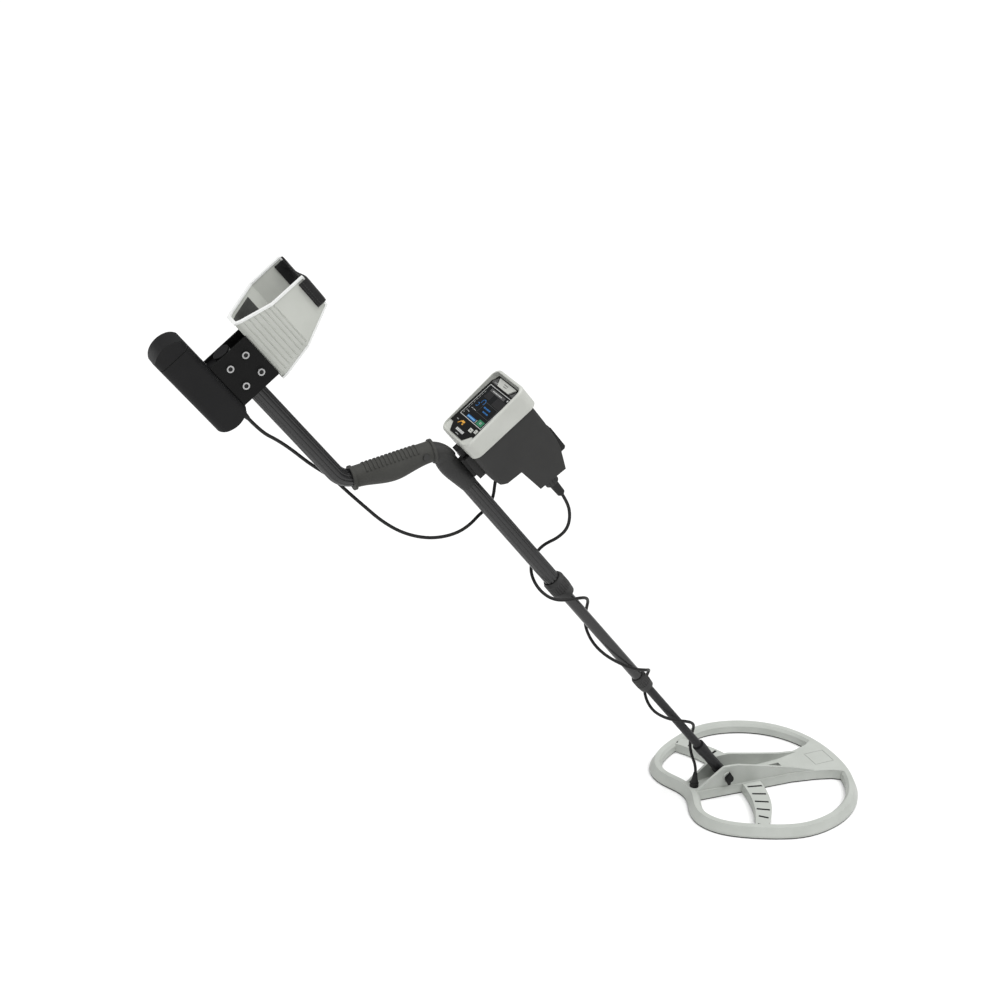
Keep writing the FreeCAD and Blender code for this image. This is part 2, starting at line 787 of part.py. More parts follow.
def spine_base():
    edge = spine_edge()
    outline = edge + [(x, -y) for x, y in reversed(edge)]
    return plan_prism(outline, coil_bottom, coil_top)


def spine_wall(side):
    """Upstanding cheek along one edge of the spine, falling to nothing at the front."""
    edge = [(x, side * (y - wall_inset)) for x, y in spine_edge()[1:7]]
    inner = [(x, y - side * 4.5) for x, y in reversed(edge)]
    band = plan_prism(edge + inner, coil_top - 1, wall_top + 5)
    rise = side_prism([(-57, coil_top - 1), (-57, coil_top), (-7, wall_top), (8, wall_top), (22, wall_top - 1),
                       (172, coil_top), (172, coil_top - 1)], 80)
    boss = bar_y(8.5, side * cheek_y[0], side * cheek_y[1])
    return band.common(rise).fuse(boss)


def arm_bars():
    """Ends of the cross bars on the arms, rear end first, on one side."""
    return [((34, 33), (59, 39)), ((30, 54), (52, 63)), ((22, 75), (43, 85)), ((13, 95), (32, 106)),
            ((5, 114), (17, 125)), ((-9, 133), (1, 144))]


def arm(side):
    """Curved arm from the spine back to the rim, with shallow cross grooves."""
    rear = [(31, 18), (23, 62), (7, 101), (-27, 148)]
    front = [(65, 18), (57, 59), (44, 92), (25, 121), (-8, 160)]
    rear_curve = Part.BSplineCurve()
    rear_curve.interpolate([Vector(x, side * y, coil_bottom) for x, y in rear])
    front_curve = Part.BSplineCurve()
    front_curve.interpolate([Vector(x, side * y, coil_bottom) for x, y in front])
    ends = [Part.makeLine(rear_curve.EndPoint, front_curve.EndPoint),
            Part.makeLine(front_curve.StartPoint, rear_curve.StartPoint)]
    wire = Part.Wire(Part.__sortEdges__([rear_curve.toShape(), front_curve.toShape()] + ends))
    plate = Part.Face(wire).extrude(Vector(0, 0, coil_top - coil_bottom - 1.5))
    for start, end in arm_bars():
        a, b = Vector(start[0], side * start[1], 0), Vector(end[0], side * end[1], 0)
        across = (b - a).cross(Z).normalize() * 2.2
        corners = [a + across, b + across, b - across, a - across]
        plate = plate.cut(plan_prism([(v.x, v.y) for v in corners], coil_top - 3, coil_top + 1))
    return plate


def winding_groove(z0, z1, grow):
    outer = Part.Face(coil_outline(z0, 6 - grow)).extrude(Vector(0, 0, z1 - z0))
    inner = Part.Face(coil_outline(z0 - 1, 14 + grow)).extrude(Vector(0, 0, z1 - z0 + 2))
    return outer.cut(inner)


def coil_shell():
    rim = bevelled_disc().cut(rim_hole())
    parts = [rim, spine_base().common(bevelled_disc()), spine_wall(-1), spine_wall(1)]
    parts += [arm(side).common(bevelled_disc()) for side in (-1, 1)]
    shell = fuse(parts)
    shell = shell.cut(winding_groove(coil_bottom - 1, coil_bottom + 9, 0))
    shell = shell.cut(bar_y(4.0, -40, 40)).cut(block((95, 123), (-11, 11), (-45, 0)))
    shell = shell.cut(bar_y(washer_r + 0.4, -cheek_y[0], cheek_y[0]))
    panel = block((181, 219), (-18, 18), (coil_top - 0.6, coil_top + 1))
    shell = shell.cut(panel.cut(block((181.8, 218.2), (-17.2, 17.2), (-45, 0))))
    return shell.cut(rod(4.0, Vector(boot_top.x, 0, -45), Vector(boot_top.x, 0, 0)))


def coil_winding():
    return winding_groove(coil_bottom + 1, coil_bottom + 8.5, -0.5)


def skid_plate():
    """Thin wear cover under the rim and the spine."""
    height = coil_bottom - skid_bottom
    rim = Part.Face(coil_outline(skid_bottom, 0.8)).extrude(Vector(0, 0, height))
    rim = rim.cut(Part.Face(coil_outline(skid_bottom - 1, rim_width - 0.8)).extrude(Vector(0, 0, height + 2)))
    edge = [(x, y - 0.8) for x, y in spine_edge()]
    spine = plan_prism(edge + [(x, -y) for x, y in reversed(edge)], skid_bottom, coil_bottom)
    whole = Part.Face(coil_outline(skid_bottom, 0.8)).extrude(Vector(0, 0, height))
    return fuse([rim, spine.common(whole)])


def hinge_bolt():
    face = cheek_y[1]
    shank = bar_y(4.0, -face, face)
    head = bar_y(7.5, face, face + 4).cut(bar_y(3.0, face + 1.5, face + 5))
    tail = bar_y(3.0, -face - 6, -face)
    return fuse([shank, head, tail])


def hinge_knob():
    """Spade shaped thumb nut on the right of the hinge."""
    half = [(0, 13.0), (1.8, 9.5), (6.6, 3.0), (7.4, -1.0), (6.0, -4.6), (2.4, -6.2), (2.0, -11.0), (0, -11.0)]
    outline = half + [(-x, z) for x, z in reversed(half) if x > 0]
    face = -cheek_y[1]
    blade = polygon([Vector(x, face - 7.5, z) for x, z in outline]).extrude(Vector(0, 4.5, 0))
    hub = bar_y(6.0, face - 3.5, face - 0.3)
    return fuse([blade, hub]).cut(bar_y(3.0 + running_gap, face - 6.2, face + 5))


def coil_gland():
    """Threaded base in the rear of the spine, with the moulded boot over the cable."""
    axis = [Vector(boot_top.x, 0, z) for z in (coil_bottom + 2, coil_top, coil_top + 7, coil_top + 11)]
    taper = Part.makeCone(5.6, 3.3, (boot_top - axis[3]).Length, axis[3], Z)
    return fuse([rod(4.0, axis[0], axis[1]), rod(7.5, axis[1], axis[2]), rod(6.0, axis[2], axis[3]), taper])


# ---------------------------------------------------------------- cables
def battery_cable():
    """From the battery case under the grip, behind the shaft and up into the box."""
    rear = [REAR.multVec(Vector(*p)) for p in [
        (gland_x + 14, -8, -34), (-146, -8, -34), (-118, -3, -26), (-88, 3, -21), (-60, 9, -18),
        (-34, 16, -14)]]
    hanging = [Vector(*p) for p in [
        (-83, 20, -16), (-72, 20, -28), (-56, 16, -45), (-37, 10, -64), (-12, 5, -89), (18, 1, -110),
        (52, 0, -123), (81, 0, -126), (107, 2, -123), (128, 7, -115)]]
    front = [FRONT.multVec(Vector(*p)) for p in [
        (142, 17, -17), (147, 21, 0), (139, 21.5, 16), (124, 21, 30), (112, 20, 42), (110, 20, 56)]]
    return cord("battery cable", rear + hanging + front, cable_r)


# Way points of the coil cable in the front frame: once round each part of the shaft.
coil_run_upper = [
    (plug_end, plug_y, plug_z), (207, -25, 90), (228, -24, 80), (244, -20, 65), (250, -12, 46), (252, 1, 28),
    (262, 16, 15), (271, 22, 0), (280, 17, -15), (292, 3, -24), (307, -12, -26), (322, -24, -20),
    (337, -28, -5), (354, -23, 12), (372, -11, 20), (391, 4, 19)]
coil_run_middle = [
    (391, 4, 19), (407, 15, 11), (422, 18, -2), (439, 13, -13), (461, 2, -19), (485, -8, -17), (510, -16, -9),
    (536, -20, 2), (560, -14, 16), (578, 2, 21), (594, 16, 14), (612, 21, -2)]
coil_run_lower = [
    (612, 21, -2), (629, 12, -15), (648, -1, -19), (667, -13, -11), (686, -17, 2), (706, -13, 13),
    (727, -2, 17), (747, 11, 13), (762, 18, 2), (776, 18, -10), (788, 11, -19), (799, 3, -24)]


def midpoint(a, b):
    return tuple((p + q) / 2 for p, q in zip(a, b))


def coil_cable_upper():
    """Root part of the coil cable, from the plug to the first telescopic part."""
    points = coil_run_upper[:-1] + [midpoint(*coil_run_upper[-2:])]
    return cord("coil cable, upper", [Vector(*p) for p in points], cable_r)


def coil_cable_middle():
    start = midpoint(*coil_run_upper[-2:])
    points = [start] + coil_run_middle[:-1] + [midpoint(*coil_run_middle[-2:])]
    return cord("coil cable, middle", [Vector(*p) for p in points], cable_r)


def coil_cable_lower():
    """Last part, round the lower rod and straight down into the boot on the coil."""
    start = midpoint(*coil_run_middle[-2:])
    end = FRONT.inverse().multVec(COIL.multVec(boot_top))
    above = FRONT.inverse().multVec(COIL.multVec(boot_top + Vector(0, 0, 12)))
    points = [Vector(*p) for p in [start] + coil_run_lower[:-1]]
    return cord("coil cable, lower", points + [above, end], cable_r)


# ---------------------------------------------------------------- build every part
def write_root():
    save("upper_tube", upper_tube())
    save("tube_plug", tube_plug(), REAR)
    save("hand_grip", hand_grip())
    save("grip_button", grip_button(), GRIP)
    save("bracket_plates", bracket_plates(), REAR)
    save("bracket_screws", bracket_screws(), REAR)
    save("cup_foot", cup_foot(), REAR)
    save("cup_screws", cup_screws(), REAR)
    save("case_saddle", case_saddle(), REAR)
    shell = cup_shell()
    save("cup_shell", shell, REAR)
    save("cup_trim", cup_trim(shell), REAR)
    save("cup_pad", cup_pad(), REAR)
    save("arm_strap", arm_strap(), REAR)


def write_battery():
    save("battery_case", battery_case(), REAR)
    save("battery_cap", battery_cap(), REAR)
    save("battery_seal", battery_seal(), REAR)
    save("battery_tray", battery_tray(), REAR)
    save("battery_cells", battery_cells(), REAR)
    save("case_gland", case_gland(), REAR)


def write_box():
    save("box_mount", box_mount(), FRONT)
    save("mount_latch", mount_latch(), FRONT)
    save("box_shell", box_shell(), FRONT)
    save("box_seal", box_seal(), FRONT)
    save("box_housing", box_housing(), FRONT)
    save("bezel", bezel(), FRONT)
    save("screen_window", screen_window(), FRONT)
    save("power_key", power_key(), FRONT)
    save("left_key", small_key(small_key_places()[0], 0, 1.6, 8.0), FRONT)
    save("right_key", small_key(small_key_places()[1], 0, 1.6, 8.0), FRONT)
    save("display_panel", display_panel(), FRONT)
    save("circuit_board", circuit_board(), FRONT)
    save("board_screws", board_screws(), FRONT)
    save("speaker", speaker(), FRONT)
    save("socket_cover", socket_cover(), FRONT)
    save("charge_socket", charge_socket(), FRONT)
    save("headphone_socket", headphone_socket(), FRONT)
    save("coil_socket", coil_socket(), FRONT)
    save("coil_plug", coil_plug(), FRONT)
    save("plug_ring", plug_ring(), FRONT)
    save("box_gland", box_gland(), FRONT)


def write_shaft():
    save("upper_collet", upper_collet(), FRONT)
    save("upper_collar", upper_collar(), FRONT)
    save("mid_tube", mid_tube(), FRONT)
    save("mid_bush", mid_bush(), FRONT)
    save("lower_collet", lower_collet(), FRONT)
    save("lower_collar", lower_collar(), FRONT)
    save("lower_rod", lower_rod(), FRONT)
    save("rod_bush", rod_bush(), FRONT)
    save("rod_end_fitting", rod_end_fitting(), FRONT)
    save("hinge_washers", hinge_washers(), FRONT)


def write_coil():
    save("coil_shell", coil_shell(), COIL)
    save("coil_winding", coil_winding(), COIL)
    save("skid_plate", skid_plate(), COIL)
    save("hinge_bolt", hinge_bolt(), COIL)
    save("hinge_knob", hinge_knob(), COIL)
    save("coil_gland", coil_gland(), COIL)


def write_cables():
    save("battery_cable", battery_cable())
    save("coil_cable_upper", coil_cable_upper(), FRONT)
    save("coil_cable_middle", coil_cable_middle(), FRONT)
    save("coil_cable_lower", coil_cable_lower(), FRONT)


os.makedirs("parts", exist_ok=True)
write_root()
write_battery()
write_box()
write_shaft()
write_coil()
write_cables()
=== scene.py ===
import math

import bmesh
import bpy
from mathutils import Matrix, Vector


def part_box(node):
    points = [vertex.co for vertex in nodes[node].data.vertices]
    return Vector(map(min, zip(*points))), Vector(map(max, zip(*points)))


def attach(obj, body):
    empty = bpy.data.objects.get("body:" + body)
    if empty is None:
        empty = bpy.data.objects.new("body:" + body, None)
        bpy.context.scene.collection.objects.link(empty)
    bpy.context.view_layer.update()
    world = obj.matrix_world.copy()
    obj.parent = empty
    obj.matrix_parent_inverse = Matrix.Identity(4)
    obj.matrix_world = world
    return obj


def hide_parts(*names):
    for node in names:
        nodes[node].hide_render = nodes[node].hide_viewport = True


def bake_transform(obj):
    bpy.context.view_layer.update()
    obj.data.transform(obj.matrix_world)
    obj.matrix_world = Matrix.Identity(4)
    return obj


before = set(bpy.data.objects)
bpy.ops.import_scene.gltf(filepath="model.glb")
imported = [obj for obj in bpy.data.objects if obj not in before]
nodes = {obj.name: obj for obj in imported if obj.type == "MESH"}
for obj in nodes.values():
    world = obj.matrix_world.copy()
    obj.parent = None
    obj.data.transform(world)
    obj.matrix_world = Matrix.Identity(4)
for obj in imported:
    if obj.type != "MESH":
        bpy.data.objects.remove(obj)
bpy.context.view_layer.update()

MM = 0.001

# ---------------------------------------------------------------- local frames, as in the CAD model
SHAFT, TILT = math.radians(50.8), math.radians(11.5)
GRIP_AXIS = Vector((math.cos(TILT), 0, math.sin(TILT)))
REAR = Matrix.Translation(GRIP_AXIS * -0.0756) @ Matrix.Rotation(SHAFT, 4, "Y")
FRONT = Matrix.Translation(GRIP_AXIS * 0.0705) @ Matrix.Rotation(SHAFT, 4, "Y")
COIL = Matrix.Translation(FRONT @ Vector((0.8524, 0, 0)))
OBJECT = Matrix.Identity(4)

CAMERA_PLACE = (-0.8431, -2.1088, 0.9566)
CAMERA_RIGHT = Vector((0.9083, -0.4163, 0.0412)).normalized()
CAMERA_LOOK = Vector((0.3958, 0.824, -0.4051)).normalized()
FOCAL_LENGTH = 63
AMBIENT = 0.30
SUN_STRENGTH, SUN_SPREAD, SUN_WAY = 3.0, 1.1, (-0.12, 0.22, -1)
KEY_PLACE, KEY_AIM, KEY_WIDTH, KEY_WATTS = (-1.8, -1.4, 2.2), (0.1, 0, -0.2), 1.2, 16
FLOOR_HALF, FLOOR_GAP = 40, 0.0004


# ---------------------------------------------------------------- camera, floor and light
def add_camera():
    data = bpy.data.cameras.new("camera")
    data.lens, data.sensor_width = FOCAL_LENGTH, 36
    data.clip_start, data.clip_end = 0.05, 200
    camera = bpy.data.objects.new("camera", data)
    up = CAMERA_RIGHT.cross(CAMERA_LOOK).normalized()
    axes = Matrix((CAMERA_RIGHT, up, -CAMERA_LOOK)).transposed().to_4x4()
    camera.matrix_world = Matrix.Translation(CAMERA_PLACE) @ axes
    bpy.context.scene.collection.objects.link(camera)
    bpy.context.scene.camera = camera


def add_key():
    data = bpy.data.lights.new("key", "AREA")
    data.shape, data.size, data.energy = "DISK", KEY_WIDTH, KEY_WATTS
    lamp = bpy.data.objects.new("key", data)
    lamp.location = KEY_PLACE
    lamp.rotation_mode = "QUATERNION"
    lamp.rotation_quaternion = (Vector(KEY_AIM) - Vector(KEY_PLACE)).to_track_quat("-Z", "Y")
    bpy.context.scene.collection.objects.link(lamp)


def add_overhead():
    data = bpy.data.lights.new("overhead", "SUN")
    data.energy, data.angle = SUN_STRENGTH, SUN_SPREAD
    sun = bpy.data.objects.new("overhead", data)
    sun.rotation_mode = "QUATERNION"
    sun.rotation_quaternion = Vector(SUN_WAY).to_track_quat("-Z", "Y")
    bpy.context.scene.collection.objects.link(sun)


def add_floor():
    mesh = bpy.data.meshes.new("floor")
    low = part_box("skid_plate")[0].z - FLOOR_GAP
    corners = [(-1, -1), (1, -1), (1, 1), (-1, 1)]
    mesh.from_pydata([(x * FLOOR_HALF, y * FLOOR_HALF, low) for x, y in corners], [], [(0, 1, 2, 3)])
    floor = bpy.data.objects.new("floor", mesh)
    bpy.context.scene.collection.objects.link(floor)
    floor.data.materials.append(surface("studio_floor", (0.90, 0.90, 0.898), (0.885, 0.885, 0.882), 0.9,
                                        grain=60, relief=0.02))


def add_studio():
    bpy.context.scene.view_settings.view_transform = "Standard"
    world = bpy.data.worlds.new("studio")
    world.use_nodes = True
    world.node_tree.nodes["Background"].inputs["Color"].default_value = (1, 1, 1, 1)
    world.node_tree.nodes["Background"].inputs["Strength"].default_value = AMBIENT
    bpy.context.scene.world = world
    add_overhead()
    add_key()
    add_floor()


# ---------------------------------------------------------------- materials
def link(tree, a, b):
    tree.links.new(a, b)


def noise(tree, where, scale, detail=2.0, rough=0.5):
    node = tree.nodes.new("ShaderNodeTexNoise")
    node.inputs["Scale"].default_value = scale
    node.inputs["Detail"].default_value = detail
    node.inputs["Roughness"].default_value = rough
    link(tree, where, node.inputs["Vector"])
    return node.outputs["Fac"]


def remap(tree, value, low, high, start=0.3, end=0.7):
    node = tree.nodes.new("ShaderNodeMapRange")
    node.inputs["From Min"].default_value = start
    node.inputs["From Max"].default_value = end
    node.inputs["To Min"].default_value = low
    node.inputs["To Max"].default_value = high
    link(tree, value, node.inputs["Value"])
    return node.outputs["Result"]


def math_node(tree, kind, a, b):
    node = tree.nodes.new("ShaderNodeMath")
    node.operation = kind
    for socket, value in zip(node.inputs, (a, b)):
        if isinstance(value, (int, float)):
            socket.default_value = value
        else:
            link(tree, value, socket)
    return node.outputs[0]


def mix_colour(tree, share, a, b):
    node = tree.nodes.new("ShaderNodeMix")
    node.data_type = "RGBA"
    link(tree, share, node.inputs["Factor"])
    for socket, value in ((node.inputs[6], a), (node.inputs[7], b)):
        if isinstance(value, tuple):
            socket.default_value = (*value, 1)
        else:
            link(tree, value, socket)
    return node.outputs[2]


def edge_mask(tree, radius):
    """Share of rubbed edge, 1 along edges and 0 on faces, with the rounded normal."""
    rounded = tree.nodes.new("ShaderNodeBevel")
    rounded.samples = 4
    rounded.inputs["Radius"].default_value = radius
    plain = tree.nodes.new("ShaderNodeNewGeometry")
    dot = tree.nodes.new("ShaderNodeVectorMath")
    dot.operation = "DOT_PRODUCT"
    link(tree, rounded.outputs[0], dot.inputs[0])
    link(tree, plain.outputs["Normal"], dot.inputs[1])
    return remap(tree, dot.outputs["Value"], 1.0, 0.0, 0.80, 0.995), rounded.outputs[0]


def relief_height(tree, kind, where, grain):
    """Height of the fine surface: moulded grain, foam cells or weave."""
    if kind == "grain":
        return noise(tree, where, grain, 3.0, 0.6)
    if kind == "cells":
        node = tree.nodes.new("ShaderNodeTexVoronoi")
        node.inputs["Scale"].default_value = grain
        link(tree, where, node.inputs["Vector"])
        return node.outputs["Distance"]
    waves = []
    for direction in ("X", "Y"):
        wave = tree.nodes.new("ShaderNodeTexWave")
        wave.bands_direction = direction
        wave.inputs["Scale"].default_value = grain
        wave.inputs["Distortion"].default_value = 0.6
        wave.inputs["Detail"].default_value = 1.0
        link(tree, where, wave.inputs["Vector"])
        waves.append(wave.outputs["Fac"])
    return math_node(tree, "MAXIMUM", waves[0], waves[1])


def surface(name, base, shade, rough, grain=900.0, relief=0.2, depth=0.0002, metal=0.0, sheen=0.0, spec=0.5,
            lie=0.0, stretch=(1, 1, 1), spread=0.08, wear=0.0, worn=None, kind="grain", uv=False, blotch=22.0,
            rounding=0.0005):
    """Solid finish: two tones in soft blotches, uneven gloss, fine relief and paler rubbed edges."""
    mat = bpy.data.materials.new(name)
    mat.use_nodes = True
    tree = mat.node_tree
    bsdf = tree.nodes["Principled BSDF"]
    bsdf.inputs["Metallic"].default_value = metal
    bsdf.inputs["Specular IOR Level"].default_value = spec
    bsdf.inputs["Sheen Weight"].default_value = sheen
    bsdf.inputs["Sheen Roughness"].default_value = 0.5
    place = tree.nodes.new("ShaderNodeTexCoord")
    turn = tree.nodes.new("ShaderNodeMapping")
    turn.inputs["Rotation"].default_value = (0, lie, 0)
    link(tree, place.outputs["UV" if uv else "Object"], turn.inputs["Vector"])
    squeeze = tree.nodes.new("ShaderNodeMapping")
    squeeze.inputs["Scale"].default_value = stretch
    link(tree, turn.outputs["Vector"], squeeze.inputs["Vector"])
    where = squeeze.outputs["Vector"]
    broad = noise(tree, place.outputs["Object"], blotch, 4.0, 0.55)
    height = relief_height(tree, kind, where, grain)
    colour = mix_colour(tree, remap(tree, broad, 0, 1, 0.35, 0.65), base, shade)
    edge, rounded = edge_mask(tree, max(rounding, 0.0002))
    if wear:
        patches = remap(tree, noise(tree, where, 160, 3.0), 0.0, wear, 0.35, 0.7)
        rubbed = math_node(tree, "MULTIPLY", edge, patches)
        colour = mix_colour(tree, rubbed, colour, worn)
    link(tree, colour, bsdf.inputs["Base Color"])
    gloss = math_node(tree, "ADD", remap(tree, broad, rough - spread, rough + spread, 0.3, 0.7),
                      remap(tree, height, -0.04, 0.04, 0.2, 0.8))
    link(tree, gloss, bsdf.inputs["Roughness"])
    bump = tree.nodes.new("ShaderNodeBump")
    bump.inputs["Strength"].default_value = relief
    bump.inputs["Distance"].default_value = depth
    link(tree, height, bump.inputs["Height"])
    link(tree, rounded, bump.inputs["Normal"])
    link(tree, bump.outputs["Normal"], bsdf.inputs["Normal"])
    return mat


def glow(name, colour, strength, second=None):
    """Lit part of the display, slightly uneven like a backlit panel. On the printed bezel marks this glow is
    painted light.
    """
    mat = bpy.data.materials.new(name)
    mat.use_nodes = True
    tree = mat.node_tree
    bsdf = tree.nodes["Principled BSDF"]
    bsdf.inputs["Roughness"].default_value = 0.35
    bsdf.inputs["Emission Strength"].default_value = strength
    place = tree.nodes.new("ShaderNodeTexCoord")
    rows = tree.nodes.new("ShaderNodeTexWave")
    rows.bands_direction = "Y"
    rows.inputs["Scale"].default_value = 420
    rows.inputs["Distortion"].default_value = 0.0
    link(tree, place.outputs["Object"], rows.inputs["Vector"])
    share = math_node(tree, "MULTIPLY", rows.outputs["Fac"], noise(tree, place.outputs["Object"], 90))
    tone = mix_colour(tree, share, colour, second or tuple(c * 0.55 for c in colour))
    link(tree, tone, bsdf.inputs["Base Color"])
    link(tree, tone, bsdf.inputs["Emission Color"])
    return mat


def make_materials():
    made = {
        "tube": surface("anodised_tube", (0.006, 0.006, 0.0065), (0.010, 0.010, 0.0105), 0.3, grain=300,
                        relief=0.25, depth=0.00008, lie=-SHAFT, stretch=(0.04, 4, 4), spread=0.07, spec=0.6,
                        wear=0.5, worn=(0.07, 0.07, 0.07), rounding=0.0003),
        "rod": surface("carbon_rod", (0.008, 0.008, 0.009), (0.014, 0.014, 0.015), 0.46, grain=420,
                       relief=0.3, depth=0.0001, lie=-SHAFT, stretch=(0.15, 3, 3), spec=0.3, wear=0.4,
                       worn=(0.05, 0.05, 0.05)),
        "grip": surface("grip_rubber", (0.042, 0.042, 0.038), (0.054, 0.054, 0.050), 0.7, grain=1500,
                        relief=0.5, depth=0.00025, kind="cells", spec=0.2, sheen=0.06, wear=0.5,
                        worn=(0.085, 0.085, 0.08), rounding=0.0012),
        "collar": surface("collar_plastic", (0.030, 0.030, 0.030), (0.040, 0.040, 0.039), 0.55, grain=1100,
                          relief=0.3, spec=0.3, wear=0.7, worn=(0.09, 0.09, 0.09), rounding=0.0006),
        "sleeve": surface("sleeve_rubber", (0.022, 0.022, 0.022), (0.031, 0.031, 0.030), 0.55, grain=1300,
                          relief=0.35, kind="cells", spec=0.3, wear=0.5, worn=(0.07, 0.07, 0.07),
                          rounding=0.0008),
        "plate": surface("powder_coat", (0.004, 0.004, 0.004), (0.007, 0.007, 0.007), 0.55, grain=1300,
                         relief=0.35, spec=0.14, wear=0.8, worn=(0.05, 0.05, 0.05), rounding=0.0005),
        "steel": surface("socket_steel", (0.52, 0.52, 0.52), (0.38, 0.38, 0.38), 0.34, grain=700,
                         relief=0.2, metal=1.0, stretch=(1, 6, 1), wear=0.6, worn=(0.7, 0.7, 0.7),
                         rounding=0.0003),
        "cup": surface("cup_plastic", (0.53, 0.545, 0.505), (0.495, 0.51, 0.47), 0.45, grain=1400,
                       relief=0.16, spec=0.35, wear=0.5, worn=(0.70, 0.71, 0.67), rounding=0.0006),
        "trim": surface("edge_bead", (0.84, 0.85, 0.84), (0.78, 0.79, 0.775), 0.4, grain=500, relief=0.1,
                        wear=0.2, worn=(0.9, 0.9, 0.9)),
        "pad": surface("eva_foam", (0.052, 0.054, 0.050), (0.036, 0.037, 0.034), 0.9, grain=1900,
                       relief=0.7, depth=0.0003, kind="cells", spec=0.15, sheen=0.1),
        "strap": surface("strap_webbing", (0.009, 0.009, 0.009), (0.018, 0.018, 0.018), 0.85, grain=230,
                         relief=0.9, depth=0.0004, kind="weave", uv=True, spec=0.15, sheen=0.2,
                         rounding=0.0003),
        "thread": surface("bonded_thread", (0.030, 0.030, 0.030), (0.045, 0.045, 0.045), 0.7, grain=2600,
                          relief=0.6, spec=0.2, sheen=0.2),
        "case": surface("case_plastic", (0.005, 0.005, 0.0055), (0.009, 0.009, 0.0095), 0.5, grain=1200,
                        relief=0.4, spec=0.2, wear=0.5, worn=(0.035, 0.035, 0.035), rounding=0.0012),
        "shell": surface("shell_plastic", (0.024, 0.024, 0.0235), (0.032, 0.032, 0.031), 0.56, grain=1200,
                         relief=0.4, spec=0.3, wear=0.6, worn=(0.08, 0.08, 0.08), rounding=0.001),
        "housing": surface("housing_plastic", (0.53, 0.54, 0.505), (0.495, 0.505, 0.47), 0.45, grain=1500,
                           relief=0.18, spec=0.35, wear=0.5, worn=(0.68, 0.69, 0.66), rounding=0.0008),
        "gloss": surface("gloss_black", (0.003, 0.003, 0.003), (0.005, 0.005, 0.005), 0.28, grain=60,
                         relief=0.03, spec=0.2, spread=0.05, rounding=0.0003),
        "black": surface("black_plastic", (0.005, 0.005, 0.005), (0.009, 0.009, 0.009), 0.46, grain=1200,
                         relief=0.3, spec=0.3, wear=0.5, worn=(0.04, 0.04, 0.04), rounding=0.0005),
        "key": surface("key_plastic", (0.50, 0.51, 0.48), (0.46, 0.47, 0.44), 0.5, grain=1400, relief=0.25,
                       spec=0.3, wear=0.5, worn=(0.66, 0.67, 0.64), rounding=0.0005),
        "board": surface("solder_mask", (0.012, 0.075, 0.03), (0.018, 0.1, 0.04), 0.4, grain=800,
                         relief=0.3),
        "panel": surface("display_black", (0.010, 0.012, 0.015), (0.020, 0.023, 0.028), 0.3, grain=900,
                         relief=0.05),
        "screen": surface("screen_glass", (0.002, 0.0025, 0.003), (0.004, 0.005, 0.006), 0.2, grain=40,
                          relief=0.02, spec=0.25, spread=0.06, rounding=0.0002),
        "cable": surface("cable_jacket", (0.006, 0.006, 0.006), (0.010, 0.010, 0.010), 0.55, grain=1300,
                         relief=0.3, spec=0.3),
        "boot": surface("boot_rubber", (0.010, 0.010, 0.010), (0.016, 0.016, 0.016), 0.6, grain=1600,
                        relief=0.4, kind="cells", spec=0.3, wear=0.4, worn=(0.04, 0.04, 0.04),
                        rounding=0.0006),
        "seal": surface("seal_rubber", (0.012, 0.012, 0.012), (0.020, 0.020, 0.020), 0.7, grain=1200,
                        relief=0.3, spec=0.25),
        "cell": surface("cell_sleeve", (0.16, 0.17, 0.19), (0.10, 0.11, 0.12), 0.35, grain=400, relief=0.1,
                        metal=0.6),
        "copper": surface("copper_winding", (0.45, 0.20, 0.09), (0.30, 0.12, 0.05), 0.35, grain=1600,
                          relief=0.6, metal=1.0),
        "coil": surface("coil_plastic", (0.47, 0.49, 0.46), (0.43, 0.45, 0.42), 0.48, grain=1100,
                        relief=0.22, spec=0.35, wear=0.6, worn=(0.62, 0.64, 0.605), rounding=0.001),
        "skid": surface("skid_plastic", (0.006, 0.006, 0.006), (0.014, 0.014, 0.014), 0.65, grain=500,
                        relief=0.5, spec=0.2, wear=0.6, worn=(0.05, 0.05, 0.05)),
        "nylon": surface("bush_nylon", (0.10, 0.10, 0.095), (0.07, 0.07, 0.066), 0.5, grain=900,
                         relief=0.2),
        # The white, grey and amber glows also dress the printed bezel marks, where the glow is painted light
        # on print that is no lamp.
        "mark_white": glow("mark_white", (0.54, 0.55, 0.54), 0.06),
        "mark_grey": glow("mark_grey", (0.08, 0.08, 0.08), 0.05),
        "mark_dim": glow("mark_dim", (0.010, 0.010, 0.011), 0.05),
        "mark_blue": glow("mark_blue", (0.012, 0.09, 0.26), 0.2, (0.02, 0.14, 0.35)),
        "mark_pale": glow("mark_pale", (0.14, 0.34, 0.58), 0.25),
        "mark_green": glow("mark_green", (0.016, 0.13, 0.065), 0.2, (0.03, 0.20, 0.10)),
        "amber_print_painted_glow": glow("amber_print_painted_glow", (0.58, 0.28, 0.03), 0.12, (0.70, 0.40, 0.08)),
        "mark_ink": glow("mark_ink", (0.09, 0.09, 0.085), 0.0),
    }
    return made


